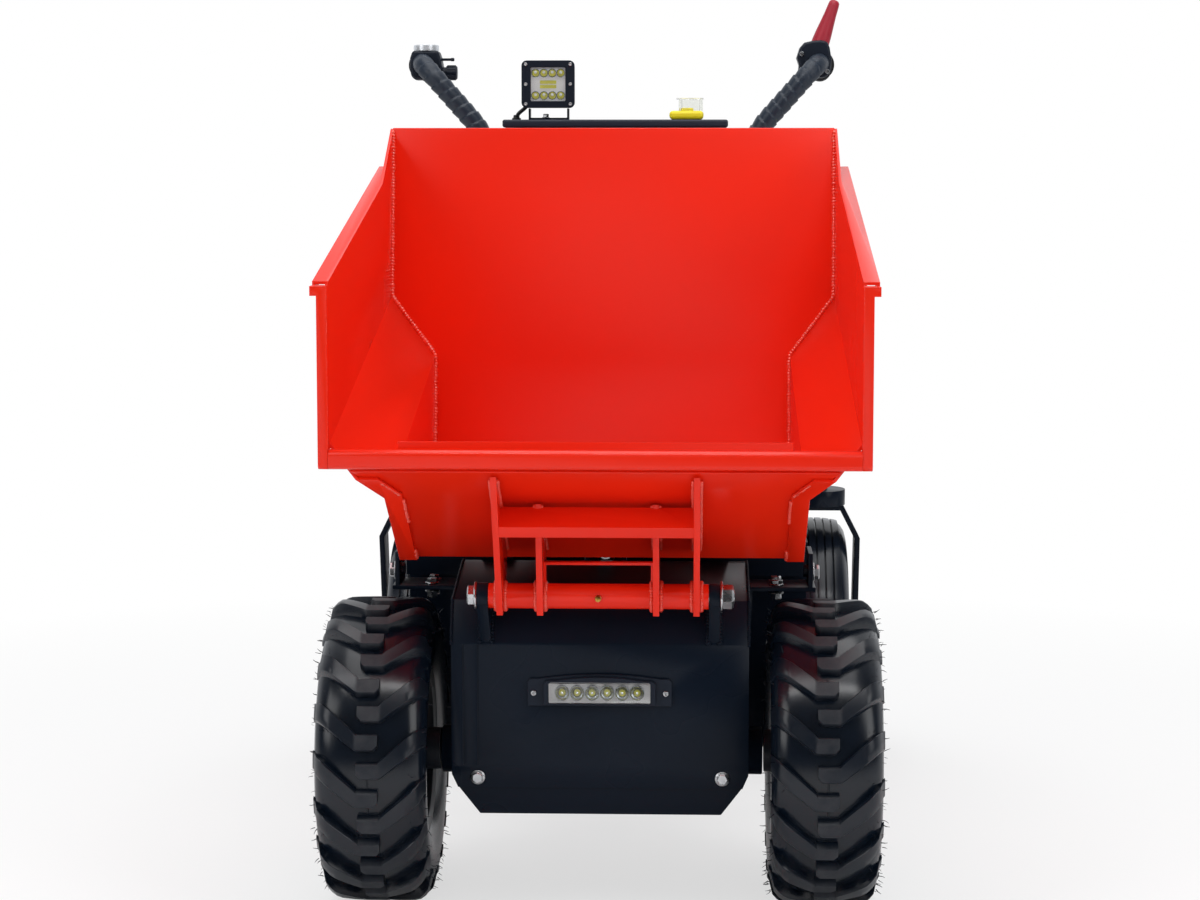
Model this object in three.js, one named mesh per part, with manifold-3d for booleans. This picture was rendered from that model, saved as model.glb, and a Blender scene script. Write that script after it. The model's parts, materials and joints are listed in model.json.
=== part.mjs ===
// Walk-behind electric site dumper: a front-tipping bucket over two driven lug tyres,
// a low frame, a battery console with handlebars, and two swivel casters behind.
// Millimetres. +Z is up and the bucket's lip faces -Y, so +X is the operator's left hand.
// Lengths along Y and heights are counted from the front axle. The finished machine is moved
// so that its origin lies on the ground under the middle of its box.

import * as THREE from 'three';
import { mergeVertices } from 'three/addons/utils/BufferGeometryUtils.js';
import Module from 'manifold-3d';

const wasm = await Module();
wasm.setup();

// ---------------------------------------------------------------- driving dimensions
const GAP = 0.3;                      // between pieces that touch
const RUNNING_GAP = 0.6;              // round a pin that turns

// front wheels
const FRONT_TYRE_RADIUS = 203;
const FRONT_TYRE_WIDTH = 145;
const FRONT_WHEEL_X = 294;
const RIM_RADIUS = 101;
const RIM_FLANGE = 11;
const HUB_RADIUS = 34;
const HUB_REACH = 78;                 // from the wheel's middle inwards to the axle tube
const HUB_FACE = 44;                  // and outwards
const FRONT_RIM_HALF = 61;
const FRONT_DISC_X = 10;

// casters
const CASTER_RADIUS = 200;
const CASTER_WIDTH = 100;
const CASTER_X = 320;
const CASTER_RIM_HALF = 34;
const SWIVEL_Y = 795;
const CASTER_TRAIL = 60;
const FORK_BAR = 8;                   // thickness of the bent bar
const FORK_BAR_WIDTH = 60;
const FORK_CLEARANCE = 12;            // tyre side to the bar
const FORK_HEADROOM = 33;             // tyre to the top of the bent bar
const FORK_SHOULDER = 55;             // drop of the sloping shoulders
const FORK_CROWN_HALF = 42;
const TURNTABLE_RADIUS = 46;
const TURNTABLE_HEIGHT = 24;
const KINGPIN_RADIUS = 10;
const CASTER_AXLE_RADIUS = 8;

// bucket, in side view
const SHEET = 4;
const LIP_FRONT_Y = -287;
const LIP_DEPTH = 25;
const LIP_BOTTOM_Z = 410;
const LIP_HEIGHT = 24;
const LIP_CORNER = 7;
const LIP_HEM_HALF = 243;
const LIP_HEM_RISE = 9;
const TOE_Y = -45;                    // where the front sheet meets the floor
const TOE_Z = 262;
const HEEL_Y = 405;                   // where the floor meets the rear wall
const HEEL_Z = 345;
const REAR_TOP_Y = 470;
const REAR_TOP_Z = 831;
const FLANGE_FRONT_Z = 635;
const FLANGE_SLOPE = 0.189;
const FLANGE_REAR_Y = 456;
const FLANGE_WIDTH = 20;
const FLANGE_TURN_DOWN = 12;
const GUSSET_START_Y = 328;
// bucket, across
const UPPER_HALF = 327;
const LOWER_HALF = 262;
const FOLD_SLOPE = 0.205;
const HIGH_FOLD_Z = 495;              // heights of the two folds above the front axle
const LOW_FOLD_Z = 411;
const EDGING_WIDTH = 19;
const POST_WIDTH = 12;

// bucket pivot
const PIVOT_Y = -140;
const PIVOT_Z = 231;
const PIVOT_TUBE_RADIUS = 16.3;
const PIVOT_TUBE_HALF = 141;
const PIVOT_BOLT_RADIUS = 10;
const OUTER_PLATE_X = 129.5;          // outer faces of the outer pair
const INNER_PLATE_X = 78;
const PIVOT_PLATE = 8;
const PIVOT_FOOT_Z = 209;
const PIVOT_FOOT_REACH = 22;          // the plates' feet, fore and aft of the pivot
const CHANNEL_TOP = [-198, 353.5];    // stiffening channel across the plates, a slot under the sheet
const CHANNEL_NOSE = [-232, 332.5];
const CHANNEL_SILL = [-224, 318.5];
const CHANNEL_RETURN = [-198, 326];
const STRAP_HALF = 70.5;              // bent strap standing on the tube between the inner plates
const STRAP_TOP_Z = 275.5;
const STRAP_THICKNESS = 3.5;
const STRAP_WIDTH = 12;
const LUG_THICKNESS = 14;
const LUG_RADIUS = 17;

// front box and fascia
const BOX_HALF = 194;
const BOX_SHEET = 4;
const BOX_REAR_Y = 105;
const FASCIA_Y = -99;
const FASCIA_TOP_Z = 160;
const FASCIA_BEND_Z = -3;
const FASCIA_BOTTOM_Z = -32;
const FASCIA_TUCK = 9;                // the foot leans back by this much
const FASCIA_SHEET = 4;
const BROW_Y = -71;
const BROW_Z = 214;
const DECK_REAR_Y = 85;
const DECK_REAR_Z = 240;
const CORNER_CUT_Z = -13;             // where the lower corners start to be cut away
const SKID_TOP_HALF = 186;
const SKID_Z = -71;
const SKID_HALF = 158;
const SKID_FRONT = 25;                // behind the fascia
const SKID_OVERLAP = 20;              // height shared with the fascia, where the bolts go
const SKID_SHEET = 4;
const AXLE_TUBE_RADIUS = 32;
const MOTOR_HALF = 110;               // motor and gearbox, as one block
const MOTOR_Y = [-70, 95];
const MOTOR_Z = [-60, 90];

// light bar in the fascia
const LIGHT_BAR_Z = 98;
const LIGHT_BEZEL_HALF = 94;
const LIGHT_BEZEL_HEIGHT = 42;
const LIGHT_BODY_HALF = 69;
const LIGHT_BODY_HEIGHT = 30;
const LIGHT_BODY_DEPTH = 26;
const LIGHT_BEZEL_SHEET = 3;
const LIGHT_STAND_OUT = 8;            // housing in front of the fascia

// frame
const RAIL_X = 150;
const RAIL_WIDTH = 40;
const RAIL_BOTTOM_Z = 209;
const RAIL_TOP_Z = 257;
const STUB_CLEARANCE = 7;             // cross members either side of the lift cylinder
const GUARD_X = 280;                  // outer edge of the guard plate behind each front tyre
const GUARD_GAP = 7;                  // from the front tyre's tread
const GUARD_SHEET = 4;
const GUARD_BOTTOM_Z = -42;
const WEB_SHEET = 4;                  // web plate between the rails, over the lift cylinder's foot
const WEB_BOTTOM_Z = 150;
const BEAM_HEIGHT = 50;
const BEAM_WIDTH = 60;
const BEAM_OVERHANG = 26;             // past the swivels
const HEAD_RADIUS = 18;
const HEAD_HEIGHT = 29;

// bracket above each front tyre
const REST_FRONT_Y = 43;
const REST_LENGTH = 70;
const REST_X = 282;
const REST_CLEARANCE = 5;             // front tyre to the bracket
const REST_TOP_Z = 260;
const REST_PLATE = 6;

// console
const CONSOLE_HALF = 168;
const CONSOLE_LENGTH = 190;
const CONSOLE_SETBACK = 15;           // console to the rear beam
const CONSOLE_INSET = 15;             // console wall to the battery
const CONSOLE_TOP_Z = 833;
const CONSOLE_SHEET = 3;
const LID_THICKNESS = 12;
const LID_OVERHANG = 3;
const BATTERY_HEIGHT = 250;

// work lamp
const LAMP_X = -103;
const LAMP_FROM_EDGE = 52;            // behind the console's front
const LAMP_WIDTH = 81;
const LAMP_HEIGHT = 72;
const LAMP_DEPTH = 50;
const LAMP_CENTRE_Z = 899;
const LAMP_LEG = 3;
const LAMP_LEG_X = 28;
const LEAD_RADIUS = 3;

// guarded switch
const SWITCH_X = 108;
const SWITCH_FROM_EDGE = 40;
const SWITCH_WIDTH = 52;
const SWITCH_LENGTH = 60;
const SWITCH_HEIGHT = 13;
const COVER_HALF = 19;
const COVER_HEIGHT = 18;
const COVER_SHIFT = 6;

// handlebars
const BAR_RADIUS = 16.5;
const BAR_FOOT_X = 200;
const BAR_SETBACK = 3;                // ahead of the beam's middle
const BAR_BEND_Z = 807;
const BAR_TOP_X = 318;
const BAR_TOP_Z = 939;
const GRIP_START = 88;                // behind the bar
const GRIP_END = 243;
const GRIP_RADIUS = 19;
const GRIP_DROP = 6;                  // the grips fall a little to the rear
const GRIP_SPREAD = 12;
// controls, from the middle of the bar's top
const CONTROL_START = 42;             // behind the bar
const CONTROL_LENGTH = 42;
const CONTROL_BELOW = 26;
const CLAMP_IN = 34;
const CLAMP_OUT = 22;
const CLAMP_ABOVE = 36;
const LEVER_BASE_OUT = 5;
const LEVER_TIP_OUT = 26.5;
const LEVER_RISE = 60;                // tip above the clamp
const LEVER_BASE_RADIUS = 14.5;
const LEVER_TIP_RADIUS = 8;
const THROTTLE_IN = 31;
const THROTTLE_OUT = 22;
const THROTTLE_ABOVE = 20;
const KNOB_REACH = 53;                // inner end of the selector knob
const KNOB_RADIUS = 12.5;
const KNOB_BELOW = 15;
const GAUGE_RADIUS = 20.5;
const GAUGE_IN = 3;
const GAUGE_HEIGHT = 9;

// lift cylinder
const LIFT_FOOT_Y = 450;
const LIFT_FOOT_Z = 59;
const LIFT_EYE_Y = 112;
const LIFT_EYE_Z = 259;
const LIFT_BARREL_RADIUS = 24;
const LIFT_BARREL_START = 34;          // from the foot pin
const LIFT_BARREL_LENGTH = 316;
const LIFT_ROD_START = 52;
const LIFT_ROD_RADIUS = 11;
const LIFT_PIN_RADIUS = 7;
const LIFT_EYE_WIDTH = 20;
const LIFT_LUG_PLATE = 6;
const LIFT_EYE_GAP = 5;               // the eye may drift a little between its ears

// ---------------------------------------------------------------- places that follow
const skidFrontY = FASCIA_Y + SKID_FRONT;
const restBottomZ = FRONT_TYRE_RADIUS + REST_CLEARANCE;
const crownZ = 2 * CASTER_RADIUS + FORK_HEADROOM;            // above the ground
const beamBottomZ = crownZ + TURNTABLE_HEIGHT + HEAD_HEIGHT - FRONT_TYRE_RADIUS;
const beamTopZ = beamBottomZ + BEAM_HEIGHT;
const beamFrontY = SWIVEL_Y - BEAM_WIDTH / 2;
const consoleRearY = beamFrontY - CONSOLE_SETBACK;
const consoleFrontY = consoleRearY - CONSOLE_LENGTH;
const lidTop = CONSOLE_TOP_Z + GAP + LID_THICKNESS;
const barY = SWIVEL_Y - BAR_SETBACK;
const controlY = barY + CONTROL_START;
const controlEnd = controlY + CONTROL_LENGTH;
const controlMiddle = controlY + CONTROL_LENGTH / 2;
const controlBottomZ = BAR_TOP_Z - CONTROL_BELOW;
const clampTopZ = BAR_TOP_Z + CLAMP_ABOVE;

// ---------------------------------------------------------------- finishes
const finish = (colour, roughness, metalness) =>
  new THREE.MeshStandardMaterial({ color: colour, roughness, metalness });
const FINISHES = {
  redPaint: [0xe4301f, 0.35, 0.1],
  blackPaint: [0x1c2128, 0.4, 0.1],
  zinc: [0xb9bcc0, 0.35, 1.0],
  rubber: [0x22242a, 0.85, 0.0],
  rimPaint: [0x24272c, 0.4, 0.1],
  blackPlastic: [0x191a1d, 0.5, 0.0],
  clearPlastic: [0xdfe6ea, 0.1, 0.0],
  yellowPlastic: [0xf0d91f, 0.45, 0.0],
  redRubber: [0xb3283b, 0.6, 0.0],
  battery: [0x30343a, 0.6, 0.0],
};

// ---------------------------------------------------------------- solids
function solid(geometry) {
  const bare = geometry.clone();
  for (const name of Object.keys(bare.attributes)) {
    if (name !== 'position') {
      bare.deleteAttribute(name);
    }
  }
  const merged = mergeVertices(bare, 1e-4);
  return new wasm.Manifold(new wasm.Mesh({
    numProp: 3,
    vertProperties: Float32Array.from(merged.attributes.position.array),
    triVerts: Uint32Array.from(merged.index.array),
  }));
}

function geometryOf(body) {
  const mesh = body.getMesh();
  const geometry = new THREE.BufferGeometry();
  geometry.setAttribute('position', new THREE.BufferAttribute(mesh.vertProperties, 3));
  geometry.setIndex(new THREE.BufferAttribute(mesh.triVerts, 1));
  geometry.computeVertexNormals();
  return geometry;
}

const join = (...bodies) => bodies.reduce((whole, body) => whole.add(body));
const cut = (body, ...tools) => tools.reduce((rest, tool) => rest.subtract(tool), body);

function shapeOf(points) {
  return new THREE.Shape(points.map(([a, b]) => new THREE.Vector2(a, b)));
}

function extrude(points, length, matrix) {
  const geometry = new THREE.ExtrudeGeometry(shapeOf(points), {
    depth: length, bevelEnabled: false, curveSegments: 8,
  });
  geometry.applyMatrix4(matrix);
  return solid(geometry);
}

const basis = (a, b, c) => new THREE.Matrix4().makeBasis(
  new THREE.Vector3(...a), new THREE.Vector3(...b), new THREE.Vector3(...c));

// An outline of [y, z] points carried across the machine from x0 to x1.
function acrossX(points, x0, x1) {
  const matrix = basis([0, 1, 0], [0, 0, 1], [1, 0, 0]).setPosition(x0, 0, 0);
  return extrude(points, x1 - x0, matrix);
}

// An outline of [x, z] points carried along the machine from y0 to y1.
function alongY(points, y0, y1) {
  const matrix = basis([0, 0, 1], [1, 0, 0], [0, 1, 0]).setPosition(0, y0, 0);
  return extrude(points.map(([x, z]) => [z, x]), y1 - y0, matrix);
}

function box(x0, x1, y0, y1, z0, z1) {
  const geometry = new THREE.BoxGeometry(x1 - x0, y1 - y0, z1 - z0);
  geometry.translate((x0 + x1) / 2, (y0 + y1) / 2, (z0 + z1) / 2);
  return solid(geometry);
}

function rod(radius, start, end, sides = 16) {
  const from = new THREE.Vector3(...start);
  const to = new THREE.Vector3(...end);
  const geometry = new THREE.CylinderGeometry(radius, radius, from.distanceTo(to), sides);
  const turn = new THREE.Quaternion().setFromUnitVectors(
    new THREE.Vector3(0, 1, 0), to.clone().sub(from).normalize());
  geometry.applyQuaternion(turn);
  geometry.translate((from.x + to.x) / 2, (from.y + to.y) / 2, (from.z + to.z) / 2);
  return solid(geometry);
}

// A closed profile of [radius, x] points turned about the X axis.
function turned(profile, segments) {
  const points = profile.map(([radius, x]) => new THREE.Vector2(radius, x));
  if (THREE.ShapeUtils.area(points) < 0) {
    points.reverse();
  }
  const geometry = new THREE.LatheGeometry(points, segments);
  geometry.rotateZ(-Math.PI / 2);
  return solid(geometry);
}

// A sheet bent along a line of points: the line is one face, and the other face lies
// `thickness` to the left of the line's direction of travel.
function bentSheet(points, thickness) {
  const normals = [];
  for (let i = 0; i + 1 < points.length; i += 1) {
    const run = new THREE.Vector2(points[i + 1][0] - points[i][0], points[i + 1][1] - points[i][1]);
    run.normalize();
    normals.push([-run.y, run.x]);
  }
  const other = points.map(([a, b], i) => {
    const before = normals[Math.max(i - 1, 0)];
    const after = normals[Math.min(i, normals.length - 1)];
    const share = 1 + before[0] * after[0] + before[1] * after[1];
    return [
      a + thickness * (before[0] + after[0]) / share,
      b + thickness * (before[1] + after[1]) / share,
    ];
  });
  return points.concat(other.reverse());
}

// A round bar swept along a smooth path.
function sweptBar(path, radius, sides, steps) {
  const section = new THREE.Shape();
  for (let i = 0; i < sides; i += 1) {
    const angle = 2 * Math.PI * i / sides;
    const x = radius * Math.cos(angle);
    const y = radius * Math.sin(angle);
    if (i === 0) {
      section.moveTo(x, y);
    } else {
      section.lineTo(x, y);
    }
  }
  section.closePath();
  return solid(new THREE.ExtrudeGeometry(section, { extrudePath: path, steps, bevelEnabled: false }));
}

const mirrored = (body) => body.mirror([1, 0, 0]);

// ---------------------------------------------------------------- machine and its groups
const machine = new THREE.Group();

function addNode(parent, name, body, finishName, position = [0, 0, 0]) {
  const mesh = new THREE.Mesh(geometryOf(body), finish(...FINISHES[finishName]));
  mesh.name = name;
  mesh.position.set(...position);
  parent.add(mesh);
  return mesh;
}

// ---------------------------------------------------------------- bucket
const SPAN = 2000;                    // longer than the bucket, for cutting prisms
const foldShift = Math.tan(Math.atan((UPPER_HALF - LOWER_HALF) / (HIGH_FOLD_Z - LOW_FOLD_Z)) / 2);
const flangeZ = (y) => FLANGE_FRONT_Z + (y - LIP_FRONT_Y) * FLANGE_SLOPE;
const rearY = (z) => HEEL_Y + (z - HEEL_Z) * (REAR_TOP_Y - HEEL_Y) / (REAR_TOP_Z - HEEL_Z);
const toeSlope = (LIP_BOTTOM_Z - TOE_Z) / (LIP_FRONT_Y - TOE_Y);
const frontSheetZ = (y) => TOE_Z + (y - TOE_Y) * toeSlope;

// The bucket's cross-section grown by `growth`: wide above, narrow below, a chamfer between.
// It runs the length of the bucket and rises to the rear with the folds.
function bucketPrism(growth) {
  const upper = UPPER_HALF + growth;
  const lower = LOWER_HALF + growth;
  const high = HIGH_FOLD_Z - foldShift * growth;
  const low = LOW_FOLD_Z - foldShift * growth;
  const outline = [
    [-upper, SPAN], [-upper, high], [-lower, low], [-lower, -SPAN],
    [lower, -SPAN], [lower, low], [upper, high], [upper, SPAN],
  ];
  const prism = alongY(outline, -SPAN / 2, SPAN / 2);
  return prism.transform([1, 0, 0, 0, 0, 1, FOLD_SLOPE, 0, 0, 0, 1, 0, 0, 0, 0, 1]);
}

function bucketFloor() {
  const lift = SHEET + GAP;
  const line = [
    [LIP_FRONT_Y + LIP_DEPTH / 2, frontSheetZ(LIP_FRONT_Y + LIP_DEPTH / 2)],
    [TOE_Y, TOE_Z],
    [HEEL_Y, HEEL_Z],
    [REAR_TOP_Y, REAR_TOP_Z],
  ];
  const grown = bentSheet(line, lift + SHEET);
  const outerFace = bentSheet(line, lift).slice(line.length);
  const innerFace = grown.slice(line.length);
  const outline = outerFace.reverse().concat(innerFace);
  const sheet = acrossX(outline, -UPPER_HALF, UPPER_HALF);
  const lipSpace = box(-SPAN, SPAN, LIP_FRONT_Y - GAP, LIP_FRONT_Y + LIP_DEPTH + GAP,
    LIP_BOTTOM_Z - GAP, LIP_BOTTOM_Z + LIP_HEIGHT + GAP);
  return cut(sheet.intersect(bucketPrism(-GAP)), lipSpace);
}

function bucketSide() {
  const top = (y) => flangeZ(y);
  const front = LIP_FRONT_Y + LIP_DEPTH;
  const outline = [
    [front, frontSheetZ(front)],
    [TOE_Y, TOE_Z],
    [HEEL_Y, HEEL_Z],
    [REAR_TOP_Y, REAR_TOP_Z],
    [GUSSET_START_Y, top(GUSSET_START_Y)],
    [front, top(front)],
  ];
  const shell = cut(bucketPrism(SHEET), bucketPrism(0));
  const panel = shell.intersect(acrossX(outline, 1, SPAN));
  const edgingLine = [[front, frontSheetZ(front)], [TOE_Y, TOE_Z], [HEEL_Y, HEEL_Z]];
  const edging = acrossX(bentSheet(edgingLine, SHEET), 1, SPAN)
    .intersect(cut(bucketPrism(SHEET), bucketPrism(-EDGING_WIDTH)));
  const flangeLine = [[front, top(front)], [FLANGE_REAR_Y, top(FLANGE_REAR_Y)]];
  const flange = acrossX(bentSheet(flangeLine, -SHEET), UPPER_HALF, UPPER_HALF + FLANGE_WIDTH);
  const turnDown = acrossX(bentSheet(flangeLine, -FLANGE_TURN_DOWN),
    UPPER_HALF + FLANGE_WIDTH - SHEET, UPPER_HALF + FLANGE_WIDTH);
  const post = box(UPPER_HALF, UPPER_HALF + POST_WIDTH, LIP_FRONT_Y, front + SHEET,
    LIP_BOTTOM_Z, FLANGE_FRONT_Z);
  const postFoot = rod(LIP_CORNER, [UPPER_HALF, LIP_FRONT_Y + LIP_CORNER, LIP_BOTTOM_Z + LIP_CORNER],
    [UPPER_HALF + POST_WIDTH, LIP_FRONT_Y + LIP_CORNER, LIP_BOTTOM_Z + LIP_CORNER]);
  const footCorner = box(UPPER_HALF - 1, UPPER_HALF + POST_WIDTH + 1, LIP_FRONT_Y - 1,
    LIP_FRONT_Y + LIP_CORNER, LIP_BOTTOM_Z - 1, LIP_BOTTOM_Z + LIP_CORNER);
  const cap = box(UPPER_HALF, UPPER_HALF + FLANGE_WIDTH, LIP_FRONT_Y, front + SHEET,
    FLANGE_FRONT_Z - FLANGE_TURN_DOWN, FLANGE_FRONT_Z);
  return join(panel, edging, flange, turnDown, cut(post, footCorner), postFoot, cap);
}

function bucketLip() {
  const half = UPPER_HALF - GAP;
  const tube = new THREE.Shape();
  const [y0, y1] = [LIP_FRONT_Y, LIP_FRONT_Y + LIP_DEPTH];
  const [z0, z1] = [LIP_BOTTOM_Z, LIP_BOTTOM_Z + LIP_HEIGHT];
  const r = LIP_CORNER;
  tube.moveTo(y0 + r, z0);
  tube.lineTo(y1 - r, z0);
  tube.absarc(y1 - r, z0 + r, r, -Math.PI / 2, 0);
  tube.absarc(y1 - r, z1 - r, r, 0, Math.PI / 2);
  tube.absarc(y0 + r, z1 - r, r, Math.PI / 2, Math.PI);
  tube.absarc(y0 + r, z0 + r, r, Math.PI, 1.5 * Math.PI);
  const geometry = new THREE.ExtrudeGeometry(tube, {
    depth: 2 * half, bevelEnabled: false, curveSegments: 5,
  });
  geometry.applyMatrix4(basis([0, 1, 0], [0, 0, 1], [1, 0, 0]).setPosition(-half, 0, 0));
  const hem = box(-LIP_HEM_HALF, LIP_HEM_HALF, y1 - SHEET, y1, z1 - LIP_HEIGHT / 2, z1 + LIP_HEM_RISE);
  return join(solid(geometry), hem);
}

// Red plates under the lip that carry the pivot tube, with a channel across their front.
function pivotFrame() {
  const underSheet = (y) => [y, frontSheetZ(y) - GAP];
  const plateFrom = (frontY) => [
    underSheet(frontY),
    [PIVOT_Y - PIVOT_FOOT_REACH, PIVOT_FOOT_Z],
    [PIVOT_Y + PIVOT_FOOT_REACH, PIVOT_FOOT_Z],
    underSheet(TOE_Y - 28),
  ];
  const outer = acrossX(plateFrom(LIP_FRONT_Y + 16), OUTER_PLATE_X - PIVOT_PLATE, OUTER_PLATE_X);
  const inner = acrossX(plateFrom(PIVOT_Y - 62), INNER_PLATE_X - PIVOT_PLATE, INNER_PLATE_X);
  const channelLine = [CHANNEL_TOP, CHANNEL_NOSE, CHANNEL_SILL, CHANNEL_RETURN];
  const channel = acrossX(bentSheet(channelLine, SHEET), -OUTER_PLATE_X, OUTER_PLATE_X);
  const at = (x) => [x, PIVOT_Y, PIVOT_Z];
  const tube = rod(PIVOT_TUBE_RADIUS, at(-PIVOT_TUBE_HALF), at(PIVOT_TUBE_HALF), 24);
  const bore = rod(PIVOT_BOLT_RADIUS + RUNNING_GAP, at(-SPAN), at(SPAN), 24);
  const strapLayer = (half, top) => box(-half, half, PIVOT_Y - STRAP_WIDTH / 2,
    PIVOT_Y + STRAP_WIDTH / 2, PIVOT_Z, top);
  const strap = cut(strapLayer(STRAP_HALF, STRAP_TOP_Z),
    strapLayer(STRAP_HALF - STRAP_THICKNESS, STRAP_TOP_Z - STRAP_THICKNESS));
  return cut(join(outer, mirrored(outer), inner, mirrored(inner), channel, tube, strap), bore);
}

// A pair of ears under the floor for the eye of the lift cylinder.
function liftLug() {
  const half = LIFT_EYE_WIDTH / 2 + LIFT_EYE_GAP;
  const floorZ = (y) => TOE_Z + (y - TOE_Y) * (HEEL_Z - TOE_Z) / (HEEL_Y - TOE_Y) + SHEET - GAP;
  const outline = [
    [LIFT_EYE_Y - 34, floorZ(LIFT_EYE_Y - 34)],
    [LIFT_EYE_Y - 12, LIFT_EYE_Z - 12],
    [LIFT_EYE_Y + 12, LIFT_EYE_Z - 12],
    [LIFT_EYE_Y + 34, floorZ(LIFT_EYE_Y + 34)],
  ];
  const ear = acrossX(outline, half, half + LIFT_LUG_PLATE);
  const padLine = [[LIFT_EYE_Y - 40, floorZ(LIFT_EYE_Y - 40)], [LIFT_EYE_Y + 40, floorZ(LIFT_EYE_Y + 40)]];
  const pad = acrossX(bentSheet(padLine, -SHEET), -half - 12, half + 12);
  const pinHead = rod(LIFT_PIN_RADIUS + 3, [half + LIFT_LUG_PLATE - 1, LIFT_EYE_Y, LIFT_EYE_Z],
    [half + LIFT_LUG_PLATE + 5, LIFT_EYE_Y, LIFT_EYE_Z]);
  return join(ear, mirrored(ear), pad, pinHead, mirrored(pinHead));
}

const bucket = new THREE.Group();
bucket.position.z = FRONT_TYRE_RADIUS;
machine.add(bucket);
const side = bucketSide();
addNode(bucket, 'bucket_floor', bucketFloor(), 'redPaint');
addNode(bucket, 'bucket_side_left', side, 'redPaint');
addNode(bucket, 'bucket_side_right', mirrored(side), 'redPaint');
addNode(bucket, 'bucket_lip', bucketLip(), 'redPaint');
addNode(bucket, 'pivot_frame', pivotFrame(), 'redPaint');
addNode(bucket, 'lift_lug', liftLug(), 'redPaint');

// ---------------------------------------------------------------- front box
const fasciaLine = [
  [FASCIA_Y + FASCIA_TUCK, FASCIA_BOTTOM_Z],
  [FASCIA_Y, FASCIA_BEND_Z],
  [FASCIA_Y, FASCIA_TOP_Z],
  [BROW_Y, BROW_Z],
  [DECK_REAR_Y, DECK_REAR_Z],
  [BOX_REAR_Y, DECK_REAR_Z],
];

const skidTopY = FASCIA_Y + FASCIA_TUCK + FASCIA_SHEET + GAP;
const skidLine = [
  [skidTopY, FASCIA_BOTTOM_Z + SKID_OVERLAP],
  [skidTopY, FASCIA_BOTTOM_Z - 4],
  [skidFrontY, SKID_Z],
  [BOX_REAR_Y, SKID_Z],
];

// The sheet with its lower corners cut, and the two lugs welded to it for the bucket's pivot.
function fascia() {
  const sheet = acrossX(bentSheet(fasciaLine, -FASCIA_SHEET), -BOX_HALF, BOX_HALF);
  const corner = alongY([
    [BOX_HALF, CORNER_CUT_Z], [SPAN, CORNER_CUT_Z], [SPAN, -SPAN], [SKID_TOP_HALF, -SPAN],
    [SKID_TOP_HALF, FASCIA_BOTTOM_Z - 1],
  ], -SPAN, SPAN);
  const lug = pivotLug();
  return join(cut(sheet, lightBarHole(), corner, mirrored(corner)), lug, mirrored(lug));
}

// The slot for the light bar's housing.
function lightBarHole() {
  const [half, height] = [LIGHT_BODY_HALF + GAP, LIGHT_BODY_HEIGHT / 2 + GAP];
  return box(-half, half, FASCIA_Y - 10, FASCIA_Y + 10, LIGHT_BAR_Z - height, LIGHT_BAR_Z + height);
}

function frontBox() {
  const inset = FASCIA_SHEET + GAP;
  const face = bentSheet(fasciaLine, -inset).slice(fasciaLine.length).reverse();
  const bottom = SKID_Z + SKID_SHEET + GAP;
  const outline = face.concat([[BOX_REAR_Y, bottom], [skidFrontY, bottom]]);
  const cornered = (inset) => alongY([
    [BOX_HALF - inset, SPAN], [BOX_HALF - inset, CORNER_CUT_Z],
    [SKID_TOP_HALF - inset, FASCIA_BOTTOM_Z], [SKID_HALF - inset, SKID_Z - 1],
    [inset - SKID_HALF, SKID_Z - 1], [inset - SKID_TOP_HALF, FASCIA_BOTTOM_Z],
    [inset - BOX_HALF, CORNER_CUT_Z], [inset - BOX_HALF, SPAN],
  ], -SPAN, BOX_REAR_Y - inset);
  const block = acrossX(outline, -BOX_HALF, BOX_HALF);
  const axleAt = (x) => [x, 0, 0];
  const axleHole = rod(AXLE_TUBE_RADIUS + GAP, axleAt(-SPAN), axleAt(SPAN), 24);
  const clear = skidLine.map(([y, z], i) => [y - 1, i === 0 ? z + 1 : z - 1]);
  const skidRoom = acrossX(bentSheet(clear, SKID_SHEET + GAP + 2), -SPAN, SPAN);
  return cut(block.intersect(cornered(0)), cornered(BOX_SHEET), axleHole, skidRoom);
}

function skidPlate() {
  const outline = alongY([
    [-SKID_TOP_HALF, SPAN], [-SKID_TOP_HALF, FASCIA_BOTTOM_Z], [-SKID_HALF, SKID_Z - 1],
    [SKID_HALF, SKID_Z - 1], [SKID_TOP_HALF, FASCIA_BOTTOM_Z], [SKID_TOP_HALF, SPAN],
  ], -SPAN, SPAN);
  return acrossX(bentSheet(skidLine, SKID_SHEET), -BOX_HALF, BOX_HALF).intersect(outline);
}

function driveAxle() {
  const reach = FRONT_WHEEL_X - HUB_REACH - 2;
  const tube = rod(AXLE_TUBE_RADIUS, [-reach, 0, 0], [reach, 0, 0], 24);
  return join(tube, box(-MOTOR_HALF, MOTOR_HALF, ...MOTOR_Y, ...MOTOR_Z));
}

function pivotLug() {
  const x0 = PIVOT_TUBE_HALF + RUNNING_GAP;
  const arm = acrossX([
    [PIVOT_Y - 14, PIVOT_Z - 10], [PIVOT_Y + 8, PIVOT_Z + 15],
    [BROW_Y + 2, BROW_Z - 2], [FASCIA_Y + 2, FASCIA_TOP_Z + 2],
  ], x0, x0 + LUG_THICKNESS);
  const eye = rod(LUG_RADIUS, [x0, PIVOT_Y, PIVOT_Z], [x0 + LUG_THICKNESS, PIVOT_Y, PIVOT_Z], 24);
  const hole = rod(PIVOT_BOLT_RADIUS + GAP, [0, PIVOT_Y, PIVOT_Z], [SPAN, PIVOT_Y, PIVOT_Z], 24);
  return cut(join(arm, eye), hole);
}

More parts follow.
